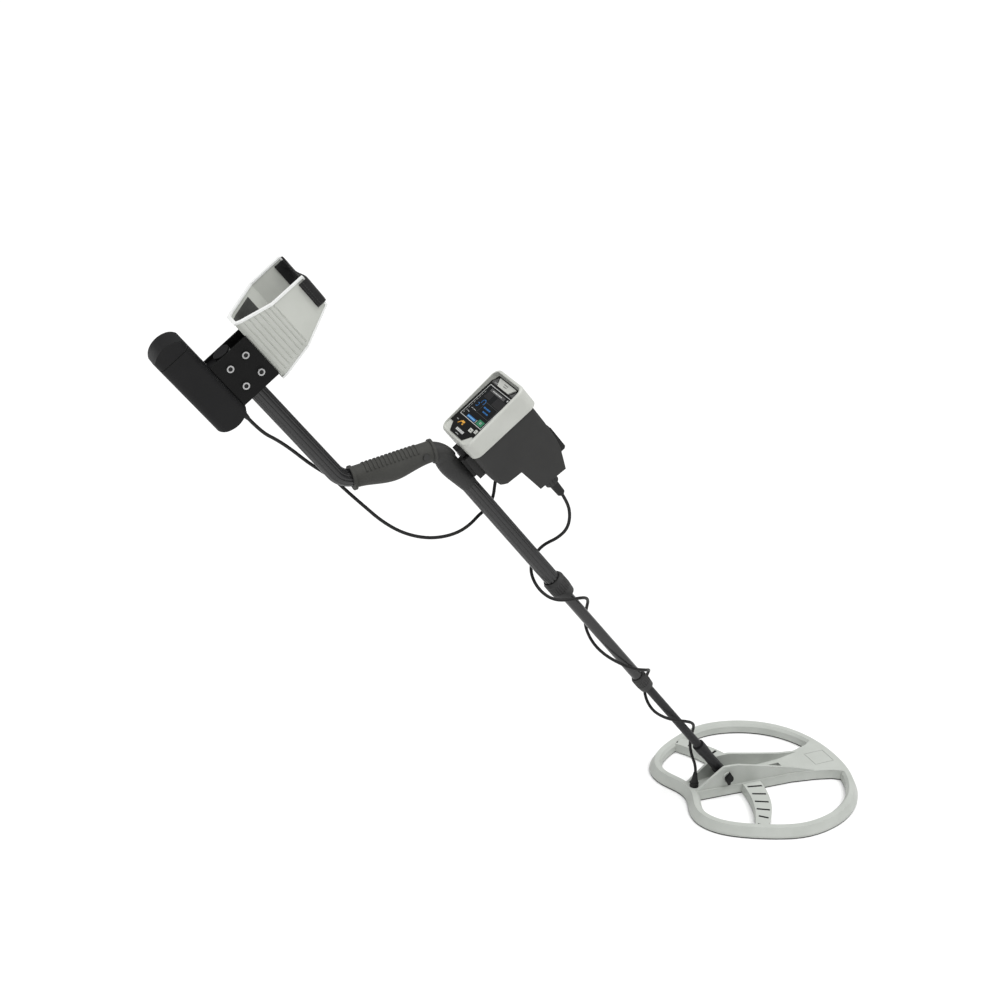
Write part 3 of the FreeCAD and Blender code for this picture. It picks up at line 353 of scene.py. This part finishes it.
MATERIAL_OF = {
    "tube": ["upper_tube", "mid_tube"],
    "rod": ["lower_rod", "rod_end_fitting"],
    "grip": ["hand_grip"],
    "collar": ["grip_button", "plug_ring", "upper_collar", "lower_collar"],
    "sleeve": ["box_mount"],
    "plate": ["bracket_plates", "cup_foot", "hinge_bolt"],
    "steel": ["bracket_screws", "cup_screws", "board_screws"],
    "cup": ["cup_shell"],
    "trim": ["cup_trim"],
    "pad": ["cup_pad"],
    "strap": ["arm_strap"],
    "case": ["tube_plug", "case_saddle", "battery_case", "battery_cap", "battery_tray", "speaker"],
    "shell": ["box_shell"],
    "housing": ["box_housing"],
    "gloss": ["bezel"],
    "black": ["mount_latch", "socket_cover", "charge_socket", "headphone_socket", "coil_socket",
              "hinge_knob"],
    "key": ["power_key", "left_key", "right_key"],
    "board": ["circuit_board"],
    "panel": ["display_panel"],
    "screen": ["screen_window"],
    "cable": ["battery_cable", "coil_cable_upper", "coil_cable_middle", "coil_cable_lower"],
    "boot": ["case_gland", "coil_plug", "box_gland", "coil_gland"],
    "seal": ["battery_seal", "box_seal", "hinge_washers"],
    "cell": ["battery_cells"],
    "copper": ["coil_winding"],
    "coil": ["coil_shell"],
    "skid": ["skid_plate"],
    "nylon": ["upper_collet", "mid_bush", "lower_collet", "rod_bush"],
}


def dress_frame():
    for key, names in MATERIAL_OF.items():
        for name in names:
            mesh = nodes[name].data
            mesh.materials.clear()
            mesh.materials.append(material[key])


# ---------------------------------------------------------------- mesh helpers
def new_mesh(name, points, faces, key, body, stands_for=(), smooth=False):
    mesh = bpy.data.meshes.new(name)
    mesh.from_pydata([tuple(p) for p in points], [], faces)
    mesh.validate()
    build = bmesh.new()
    build.from_mesh(mesh)
    bmesh.ops.recalc_face_normals(build, faces=build.faces)
    build.to_mesh(mesh)
    build.free()
    mesh.materials.append(material[key])
    for polygon in mesh.polygons:
        polygon.use_smooth = smooth
    piece = bpy.data.objects.new(name, mesh)
    bpy.context.scene.collection.objects.link(piece)
    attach(piece, body)
    if stands_for:
        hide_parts(*stands_for)
    return piece


def sweep(sections, closed=False):
    """Points and faces of a skin over equal rings of points, capped at both ends unless closed."""
    count = len(sections[0])
    points = [p for ring in sections for p in ring]
    faces = []
    last = len(sections) if closed else len(sections) - 1
    for i in range(last):
        a, b = i * count, (i + 1) % len(sections) * count
        for j in range(count):
            k = (j + 1) % count
            faces.append((a + j, a + k, b + k, b + j))
    if not closed:
        faces.append(tuple(range(count))[::-1])
        faces.append(tuple(range((len(sections) - 1) * count, len(sections) * count)))
    return points, faces


def add_sweep(points, faces, sections):
    """Add one more closed skin to a mesh that holds several."""
    more, cells = sweep(sections)
    faces += [tuple(v + len(points) for v in cell) for cell in cells]
    points += more


def hexagon(radius):
    """Six (cos, sin) pairs of this radius."""
    return [(radius * math.cos(math.pi * k / 3), radius * math.sin(math.pi * k / 3)) for k in range(6)]


# ---------------------------------------------------------------- cables
CABLE_R = 0.0025


def cable_curve(name, route):
    """Smooth spline through its route's control points, in metres, with a round section."""
    curve = bpy.data.curves.new(name, "CURVE")
    curve.dimensions = "3D"
    curve.bevel_depth, curve.bevel_resolution = CABLE_R, 6
    curve.use_fill_caps = True
    curve.resolution_u = 10
    spline = curve.splines.new("NURBS")
    spline.points.add(len(route) - 1)
    for point, place in zip(spline.points, route):
        point.co = (*place, 1)
    spline.order_u = 3
    spline.use_endpoint_u = True
    curve.materials.append(material["cable"])
    return bpy.data.objects.new(name, curve)


def declare_cable(node):
    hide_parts(node)


def cable(name, route, body, node):
    piece = cable_curve(name, route)
    bpy.context.scene.collection.objects.link(piece)
    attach(piece, body)
    declare_cable(node)


def bending_cable(name, route, node):
    """Length of cable between two bodies, made once as a plain mesh in its rest shape."""
    guide = cable_curve("guide", route)
    tube = bpy.data.meshes.new_from_object(guide)
    guide.data.bevel_depth = 0
    line = bpy.data.meshes.new_from_object(guide)
    bpy.data.objects.remove(guide)
    build = bmesh.new()
    build.from_mesh(tube)
    bmesh.ops.remove_doubles(build, verts=build.verts, dist=0.000001)
    bmesh.ops.recalc_face_normals(build, faces=build.faces)
    build.to_mesh(tube)
    build.free()
    for polygon in tube.polygons:
        polygon.use_smooth = True
    piece = bpy.data.objects.new(name, tube)
    bpy.context.scene.collection.objects.link(piece)
    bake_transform(piece)
    declare_cable(node)


def put(place, points):
    return [place @ Vector(p) for p in points]


COIL_UPPER = [
    (0.186, -0.025, 0.092), (0.207, -0.025, 0.090), (0.228, -0.024, 0.080), (0.244, -0.020, 0.065),
    (0.250, -0.012, 0.046), (0.252, 0.001, 0.028), (0.262, 0.016, 0.015), (0.271, 0.022, 0.000),
    (0.280, 0.017, -0.015), (0.292, 0.003, -0.024), (0.307, -0.012, -0.026), (0.322, -0.024, -0.020),
    (0.337, -0.028, -0.005), (0.354, -0.023, 0.012), (0.372, -0.011, 0.020), (0.3815, -0.0035, 0.0195)]
COIL_MIDDLE = [
    (0.3815, -0.0035, 0.0195), (0.391, 0.004, 0.019), (0.407, 0.015, 0.011), (0.422, 0.018, -0.002),
    (0.439, 0.013, -0.013), (0.461, 0.002, -0.019), (0.485, -0.008, -0.017), (0.510, -0.016, -0.009),
    (0.536, -0.020, 0.002), (0.560, -0.014, 0.016), (0.578, 0.002, 0.021), (0.594, 0.016, 0.014),
    (0.603, 0.0185, 0.006)]
COIL_LOWER = [
    (0.603, 0.0185, 0.006), (0.612, 0.021, -0.002), (0.629, 0.012, -0.015), (0.648, -0.001, -0.019),
    (0.667, -0.013, -0.011), (0.686, -0.017, 0.002), (0.706, -0.013, 0.013), (0.727, -0.002, 0.017),
    (0.747, 0.011, 0.013), (0.762, 0.018, 0.002), (0.776, 0.018, -0.010), (0.788, 0.011, -0.019)]
BATTERY_REAR = [
    (-0.1745, -0.008, -0.034), (-0.146, -0.008, -0.034), (-0.118, -0.003, -0.026), (-0.088, 0.003, -0.021),
    (-0.060, 0.009, -0.018), (-0.034, 0.016, -0.014)]
BATTERY_HANGING = [
    (-0.083, 0.020, -0.016), (-0.072, 0.020, -0.028), (-0.056, 0.016, -0.045), (-0.037, 0.010, -0.064),
    (-0.012, 0.005, -0.089), (0.018, 0.001, -0.110), (0.052, 0.000, -0.123), (0.081, 0.000, -0.126),
    (0.107, 0.002, -0.123), (0.128, 0.007, -0.115)]
BATTERY_FRONT = [
    (0.142, 0.017, -0.017), (0.147, 0.021, 0.000), (0.139, 0.0215, 0.016), (0.124, 0.021, 0.030),
    (0.112, 0.020, 0.042), (0.110, 0.020, 0.056)]


def add_cables():
    battery = put(REAR, BATTERY_REAR) + put(OBJECT, BATTERY_HANGING) + put(FRONT, BATTERY_FRONT)
    cable("battery_lead", battery, "handle", "battery_cable")
    bending_cable("coil_lead_upper", put(FRONT, COIL_UPPER),
                  "coil_cable_upper")
    bending_cable("coil_lead_middle", put(FRONT, COIL_MIDDLE),
                  "coil_cable_middle")
    boot = put(COIL, [(-0.0514, 0, 0.020), (-0.0514, 0, 0.008)])
    lower = put(FRONT, COIL_LOWER) + boot
    bending_cable("coil_lead_lower", lower,
                  "coil_cable_lower")


# ---------------------------------------------------------------- upper tube with its drawn flutes
TUBE_REAR, TUBE_FRONT, BEND_R = -0.266, 0.338, 0.034
TUBE_R, BORE_R = 0.0125, 0.011
FLUTES, FLUTE_DEPTH = 12, 0.0010
AROUND = 144


def tube_stations():
    """Centres along the bent tube, in the XZ plane."""
    a, b = REAR @ Vector((TUBE_REAR, 0, 0)), REAR @ Vector((0, 0, 0))
    c, d = FRONT @ Vector((0, 0, 0)), FRONT @ Vector((TUBE_FRONT, 0, 0))
    corners = [a, b, c, d]
    places = [a]
    for before, here, after in zip(corners, corners[1:], corners[2:]):
        back, ahead = (before - here).normalized(), (after - here).normalized()
        half = (math.pi - back.angle(ahead)) / 2
        reach = BEND_R * math.tan(half)
        start, end = here + back * reach, here + ahead * reach
        last = places[-1]
        places += [last.lerp(start, i / 12) for i in range(1, 12)]
        middle = here + (back + ahead).normalized() * (BEND_R / math.cos(half))
        for i in range(17):
            arm = (start - middle).lerp(end - middle, i / 16)
            places.append(middle + arm.normalized() * BEND_R)
    last = places[-1]
    places += [last.lerp(d, i / 12) for i in range(1, 13)]
    return places


def fluted_tube():
    """Bent tube with twelve shallow drawn flutes along it, open at both ends."""
    places = tube_stations()
    outer, inner = [], []
    for i, place in enumerate(places):
        ahead = (places[min(i + 1, len(places) - 1)] - places[max(i - 1, 0)]).normalized()
        side = Vector((0, 1, 0))
        up = ahead.cross(side)
        rings = [], []
        for j in range(AROUND):
            angle = 2 * math.pi * j / AROUND
            flute = max(0.0, math.cos(FLUTES * angle)) ** 3 * FLUTE_DEPTH
            arm = side * math.cos(angle) + up * math.sin(angle)
            rings[0].append(place + arm * (TUBE_R - flute))
            rings[1].append(place + arm * BORE_R)
        outer.append(rings[0])
        inner.append(rings[1])
    points, faces = sweep(outer + inner[::-1], closed=True)
    new_mesh("fluted_tube", points, faces, "tube", "handle", ["upper_tube"], smooth=True)


# ---------------------------------------------------------------- arm cup: grooved shell, foam pad, strap
CUP_HALF = [(0.013, 0.040), (0.0185, 0.0455), (0.044, 0.090), (0.0456, 0.158)]
CUP_TOP, CUP_REAR = 0.142, -0.290


def offset_half(grow):
    """Half section of the cup moved outwards by an even amount, mitred at its corners."""
    line = [(0.0, 0.040)] + CUP_HALF
    normals = []
    for (y0, z0), (y1, z1) in zip(line, line[1:]):
        run = math.hypot(y1 - y0, z1 - z0)
        normals.append(((z1 - z0) / run, -(y1 - y0) / run))
    moved = [(0.0, line[0][1] - grow)]
    for (y, z), a, b in zip(line[1:], normals, normals[1:] + normals[-1:]):
        my, mz = a[0] + b[0], a[1] + b[1]
        scale = grow * 2 / (my * my + mz * mz)
        moved.append((y + my * scale, z + mz * scale))
    return moved


def at_height(line, z):
    for (y0, z0), (y1, z1) in zip(line, line[1:]):
        if z0 <= z <= z1 and z1 > z0:
            return y0 + (y1 - y0) * (z - z0) / (z1 - z0)
    return line[-1][0]


def cup_front(z):
    return -0.1865 - (z - 0.036) * 0.0525 / 0.106


def slab(near, far):
    """Closed solid between two equal grids of points."""
    rows, cols = len(near), len(near[0])
    points = [p for row in near for p in row] + [p for row in far for p in row]
    back = rows * cols
    faces = []
    for i in range(rows - 1):
        for j in range(cols - 1):
            a = i * cols + j
            faces.append((a, a + 1, a + cols + 1, a + cols))
            faces.append((back + a, back + a + cols, back + a + cols + 1, back + a + 1))
    border = ([(0, j) for j in range(cols)] + [(i, cols - 1) for i in range(1, rows)]
              + [(rows - 1, j) for j in range(cols - 2, -1, -1)] + [(i, 0) for i in range(rows - 2, 0, -1)])
    for (i, j), (k, l) in zip(border, border[1:] + border[:1]):
        a, b = i * cols + j, k * cols + l
        faces.append((a, b, back + b, back + a))
    return points, faces


def cup_rows(top, grooves):
    """Heights up one wall with the share of a groove's depth at each."""
    rows = [(z, 0.0) for z in (0.0425, 0.0455)]
    for z in grooves:
        rows += [(z - 0.0011, 0.0), (z - 0.0006, 1.0), (z + 0.0006, 1.0), (z + 0.0011, 0.0)]
    return rows + [(z, 0.0) for z in (0.0935, 0.105, 0.120, 0.135) if z < top] + [(top, 0.0)]


def grooved_cup():
    """Cup shell with fine moulded grooves along its sloping walls."""
    outside, inside = offset_half(0.003), offset_half(0.0)
    grooves = (0.0480, 0.0555, 0.0630, 0.0705, 0.0780, 0.0845, 0.0905)
    half = [(y, y, 0.040, 0.037, 0.0) for y in (0.0, 0.006, 0.0124)]
    for z, dip in cup_rows(CUP_TOP, grooves):
        half.append((at_height(inside, z), at_height(outside, z), z, z, dip))
    rows = [(-a, -b, c, d, e) for a, b, c, d, e in half[:0:-1]] + half
    columns = [0.0, 0.02, 0.035, 0.2, 0.4, 0.6, 0.8, 0.93, 0.95, 1.0]
    near, far = [], []
    for y_in, y_out, z_in, z_out, dip in rows:
        start, end = CUP_REAR, cup_front(z_in)
        near_row, far_row = [], []
        for c in columns:
            x = start + (end - start) * c
            inner_part = dip if 0.03 < c < 0.94 else 0.0
            side = 1 if y_out > 0 else -1
            near_row.append(REAR @ Vector((x, y_out - side * 0.0009 * inner_part, z_out)))
            far_row.append(REAR @ Vector((x, y_in, z_in)))
        near.append(near_row)
        far.append(far_row)
    points, faces = slab(near, far)
    new_mesh("grooved_cup", points, faces, "cup", "handle", ["cup_shell"])


PAD_REAR, PAD_INSET = -0.2838, 0.0068
PAD_LAST = 30       # last column of points along the pad
PAD_EDGE = 4        # columns or rows over which its edge rounds off


def foam_pad():
    """Soft foam liner glued inside the cup, thinner and rounded toward its edges."""
    line = offset_half(-0.00005)
    inner = offset_half(-0.0030)
    heights = [0.0470 + 0.0280 * i / 22 for i in range(23)]
    rows = [(y, 0.04005, y, 0.0430) for y in (0.0, 0.0042, 0.0084, 0.0120)]
    rows += [(at_height(line, z), z, at_height(inner, z + 0.0015), z + 0.0015) for z in heights]
    full = [(-a, b, -c, d) for a, b, c, d in rows[:0:-1]] + rows
    near, far = [], []
    for i, (y0, z0, y1, z1) in enumerate(full):
        near_row, far_row = [], []
        for j in range(PAD_LAST + 1):
            x = PAD_REAR + (cup_front(z0) - PAD_INSET - PAD_REAR) * j / PAD_LAST
            edge = min(j, PAD_LAST - j, i, len(full) - 1 - i)
            full_part = 1 - (1 - min(edge, PAD_EDGE) / PAD_EDGE) ** 2
            soft = 0.86 + 0.14 * math.sin(x * 210 + z0 * 90) * math.sin(z0 * 240 + y0 * 60)
            share = 0.35 + 0.65 * full_part * soft
            near_row.append(REAR @ Vector((x, y0, z0)))
            far_row.append(REAR @ Vector((x, y0 + (y1 - y0) * share, z0 + (z1 - z0) * share)))
        near.append(near_row)
        far.append(far_row)
    points, faces = slab(near, far)
    piece = new_mesh("foam_pad", points, faces, "pad", "handle", ["cup_pad"], smooth=True)


ACROSS = 15     # points over the width of a strap


def ribbon(name, path, x0, x1, thick, stands_for):
    """Webbing along a path of (y, z) points in the rear frame, with its weave laid along it."""
    fine = []
    for i in range(len(path) - 1):
        a, b, c, d = (Vector(path[max(0, min(len(path) - 1, k))]) for k in (i - 1, i, i + 1, i + 2))
        for step in range(5):
            t = step / 5
            fine.append(0.5 * (2 * b + (c - a) * t + (2 * a - 5 * b + 4 * c - d) * t ** 2
                               + (3 * b - a - 3 * c + d) * t ** 3))
    fine.append(Vector(path[-1]))
    near, far, run = [], [], [0.0]
    for before, after in zip(fine, fine[1:]):
        run.append(run[-1] + (after - before).length)
    for i, place in enumerate(fine):
        ahead = (fine[min(i + 1, len(fine) - 1)] - fine[max(i - 1, 0)]).normalized()
        lift = Vector((-ahead.y, ahead.x))
        near_row, far_row = [], []
        for j in range(ACROSS):
            share = j / (ACROSS - 1)
            x = x0 + (x1 - x0) * share
            swell = 1 - 0.45 * (2 * share - 1) ** 8
            wander = 0.00025 * math.sin(run[i] * 95 + share * 2.2)
            top = place + lift * (thick / 2 * swell + wander)
            low = place - lift * (thick / 2 * swell - wander)
            near_row.append(REAR @ Vector((x, top.x, top.y)))
            far_row.append(REAR @ Vector((x, low.x, low.y)))
        near.append(near_row)
        far.append(far_row)
    points, faces = slab(near, far)
    piece = new_mesh(name, points, faces, "strap", "handle", stands_for, smooth=True)
    layer = piece.data.uv_layers.new(name="weave")
    count = len(fine) * ACROSS
    for loop in piece.data.loops:
        at = loop.vertex_index % count
        layer.data[loop.index].uv = ((at % ACROSS) / (ACROSS - 1) * (x1 - x0), run[at // ACROSS])
    return piece, round(run[-1], 4)


def arm_strap():
    """Strap across the top of the cup, sagging a little, folded down outside both walls."""
    over = [(-0.0508, 0.1312), (-0.0510, 0.1360), (-0.0511, 0.1410), (-0.0504, 0.1446), (-0.0470, 0.1458),
            (-0.0380, 0.1452), (-0.0200, 0.1432), (0.0, 0.1424), (0.0200, 0.1432), (0.0380, 0.1452),
            (0.0470, 0.1458), (0.0504, 0.1446), (0.0511, 0.1410), (0.0510, 0.1360), (0.0508, 0.1312)]
    piece, length = ribbon("arm_strap_web", over, -0.2870, -0.2450, 0.0013, ["arm_strap"])
    tail = [(0.0435, 0.1280), (0.0436, 0.1320), (0.0436, 0.1360), (0.0432, 0.1400), (0.0416, 0.1428),
            (0.0380, 0.1440)]
    inner, tail_length = ribbon("arm_strap_tail", tail, -0.2860, -0.2490, 0.0012, ())
    stitches()


STITCH_SHAPE = ((-0.0013, 0.0001), (-0.0009, 0.00035), (0.0009, 0.00035), (0.0013, 0.0001))


def stitches():
    """Two rows of thread across each folded end of the strap."""
    points, faces = [], []
    for side in (-1, 1):
        for z in (0.1336, 0.1372):
            for i in range(11):
                x = -0.2846 + i * 0.00375
                ring_centre = Vector((x, side * 0.0519, z))
                sections = []
                for along, r in STITCH_SHAPE:
                    sections.append([REAR @ (ring_centre + Vector((along, y, up))) for y, up in hexagon(r)])
                add_sweep(points, faces, sections)
    new_mesh("strap_stitches", points, faces, "thread", "handle", smooth=True)


# ---------------------------------------------------------------- display drawing and key marks
def face_plates(name, key, outlines, x0, x1, body="handle"):
    """Thin plates on the box face, each an outline in (y, z) millimetres."""
    points, faces = [], []
    for outline in outlines:
        start, count = len(points), len(outline)
        for x in (x0, x1):
            points += [FRONT @ Vector((x * MM, y * MM, z * MM)) for y, z in outline]
        faces.append(tuple(range(start, start + count)))
        faces.append(tuple(range(start + 2 * count - 1, start + count - 1, -1)))
        for i in range(count):
            j = (i + 1) % count
            faces.append((start + i, start + j, start + count + j, start + count + i))
    return new_mesh(name, points, faces, key, body)


def bar(y0, y1, z0, z1):
    return [(y0, z0), (y1, z0), (y1, z1), (y0, z1)]


def outline_bars(y0, y1, z0, z1, line):
    return [bar(y0, y1, z0, z0 + line), bar(y0, y1, z1 - line, z1),
            bar(y0, y0 + line, z0 + line, z1 - line), bar(y1 - line, y1, z0 + line, z1 - line)]


def arc_bars(y, z, r, line, start, end, count):
    """Short straight pieces along an arc, degrees."""
    pieces = []
    for i in range(count):
        a, b = (math.radians(start + (end - start) * k / count) for k in (i, i + 1))
        pieces.append([(y + q * math.cos(t), z + q * math.sin(t))
                       for q, t in ((r, a), (r, b), (r - line, b), (r - line, a))])
    return pieces


def dashes(y, z, height, widths, gap=0.9):
    """A row of bars of several widths, reading toward the right of the face."""
    row = []
    for width in widths:
        row.append(bar(y - width, y, z, z + height))
        y -= width + gap
    return row


def display_drawing():
    """Generic menu picture: title bar, icons, a framed value and two soft keys. No words."""
    on = (2.60, 2.74)
    raised = (2.50, 2.64)
    face_plates("screen_frame", "mark_white", outline_bars(-35.4, 35.4, 60.6, 120.9, 0.9), 2.46, 2.74)
    face_plates("screen_title", "mark_grey", [bar(-22, 24, 112.4, 117.4)], *on)
    white = dashes(17, 114.3, 1.2, (4.6, 2.2, 5.4, 3.0, 6.2, 3.4))
    turns = [math.pi * k / 5 for k in range(10)]
    white += [[(-29.4 + 1.6 * math.cos(t), 116.2 + 1.6 * math.sin(t)) for t in turns]]
    white += [bar(30.6, 31.1, 64 + 5.2 * i, 67.4 + 5.2 * i) for i in range(9)]
    white += [bar(-12.0, -10.8, 62.8, 68.0), bar(-25.4, -20.6, 66.2, 67.2), bar(-25.4, -20.6, 68.2, 69.0)]
    white += dashes(25, 77.0, 0.7, (3.4, 1.6, 4.4, 2.2)) + dashes(28, 70.0, 0.7, (2.6, 3.6))
    face_plates("screen_white", "mark_white", white, 2.54, 2.70)
    face_plates("screen_shade", "mark_dim", [bar(-33.4, -6, 97.5, 111.4), bar(6.5, 24, 100.5, 111.4)], *on)
    face_plates("screen_value", "mark_grey", outline_bars(-31, 7, 76.5, 96.2, 0.4), *on)
    blue = arc_bars(12.5, 93.5, 5.0, 1.2, -40, 230, 14) + arc_bars(20.5, 86.5, 3.6, 1.0, 40, 320, 12)
    blue += dashes(2.0, 87.6, 2.4, (5.2, 2.6, 6.0, 3.6)) + dashes(-4.0, 81.6, 2.2, (6.4, 3.0, 5.2))
    face_plates("screen_blue", "mark_blue", blue + [bar(-8.6, 17.2, 62.9, 67.4)], *on)
    face_plates("screen_bar", "mark_pale", [bar(-7.6, 16.2, 64.4, 66.0)], 2.54, 2.70)
    face_plates("screen_green", "mark_green", [bar(-31.5, -14.4, 62.8, 71.6)], *on)
    amber = [[(20, 47.6), (22, 47.6), (16.6, 53.6), (14.6, 53.6)], bar(6.6, 15.4, 51.8, 55.0),
             [(6.6, 48.6), (10.2, 48.6), (10.2, 51.0), (6.6, 51.0)]]
    # Printed bezel marks from here on: their faint glow is painted light.
    face_plates("bezel_amber", "amber_print_painted_glow", amber, *raised)
    pale = dashes(12.5, 38.6, 4.2, (3.4,) * 6, 0.7) + dashes(5, 34.6, 0.9, (2.6, 1.4, 3.2))
    pale += dashes(30, 51.4, 1.2, (2.2, 1.4)) + dashes(31.5, 125.8, 2.2, (4.4, 2.6))
    face_plates("bezel_pale", "mark_white", pale, *raised)
    wedge = [(21.4, 124.2), (37.4, 124.2), (38.4, 127.0), (31.2, 135.4)]
    face_plates("bezel_wedges", "mark_grey", [wedge, [(-y, z) for y, z in wedge]], *raised)
    ink = dashes(6.5, 131.6, 1.4, (3.0, 4.4, 3.0)) + dashes(4.6, 128.4, 1.2, (3.6, 3.0, 1.6))
    face_plates("top_key_mark", "mark_ink", ink, 0.93, 1.05, "top_key")
    left, right = dashes(-18.2, 50.4, 1.2, (3.6,)), dashes(-31.3, 53.4, 1.2, (2.4,))
    face_plates("left_key_mark", "mark_ink", left, 1.53, 1.65, "lower_left_key")
    face_plates("right_key_mark", "mark_ink", right, 1.53, 1.65, "lower_right_key")


# ---------------------------------------------------------------- painted shade: dark bars at the bottom of the cross grooves in the arms of the coil
# Ends of each bar in (x, y) millimetres from the hinge, for the left arm.
ARM_BARS = [((34, 33), (59, 39)), ((30, 54), (52, 63)), ((22, 75), (43, 85)), ((13, 95), (32, 106)),
            ((5, 114), (17, 125)), ((-9, 133), (1, 144))]
BAR_HALF, BAR_GAP, BAR_HEIGHTS = 2.05, 0.2, (-20.9, -19.55)


def painted_groove_shade():
    """A low black bar at the bottom of each cross groove of both arms, painted shade that makes the shallow
    grooves read as deep dark slots.
    """
    points, faces = [], []
    for side in (-1, 1):
        for start, end in ARM_BARS:
            a, b = Vector((start[0], side * start[1], 0)), Vector((end[0], side * end[1], 0))
            along = (b - a).normalized()
            across = along.cross(Vector((0, 0, 1))) * BAR_HALF
            a, b = a + along * BAR_GAP, b - along * BAR_GAP
            ring = (a + across, b + across, b - across, a - across)
            sections = []
            for z in BAR_HEIGHTS:
                sections.append([COIL @ ((corner + Vector((0, 0, z))) * MM) for corner in ring])
            add_sweep(points, faces, sections)
    new_mesh("painted_groove_shade", points, faces, "skid", "search_coil")


# ---------------------------------------------------------------- painted shade in the sockets of the bracket screws
SCREW_X, SCREW_Z = (-0.249, -0.216), (-0.0062, 0.0208)
SOCKET_DEPTHS, SOCKET_R = (0.01662, 0.0173), 0.003


def painted_socket_shade():
    """A black hexagon deep in the head of each screw on both sides of the bracket, painted shade where the
    socket's recess is dark.
    """
    points, faces = [], []
    for side in (-1, 1):
        for x in SCREW_X:
            for z in SCREW_Z:
                sections = []
                for y in SOCKET_DEPTHS:
                    corners = hexagon(SOCKET_R)
                    sections.append([REAR @ Vector((x + dx, side * y, z + dz)) for dx, dz in corners])
                add_sweep(points, faces, sections)
    new_mesh("painted_socket_shade", points, faces, "black", "handle")


material = make_materials()
add_camera()
add_studio()
dress_frame()
fluted_tube()
grooved_cup()
foam_pad()
arm_strap()
display_drawing()
# painted shade: black bars in the coil's cross grooves
painted_groove_shade()
# painted shade: black hexagons in the bracket screw sockets
painted_socket_shade()
add_cables()
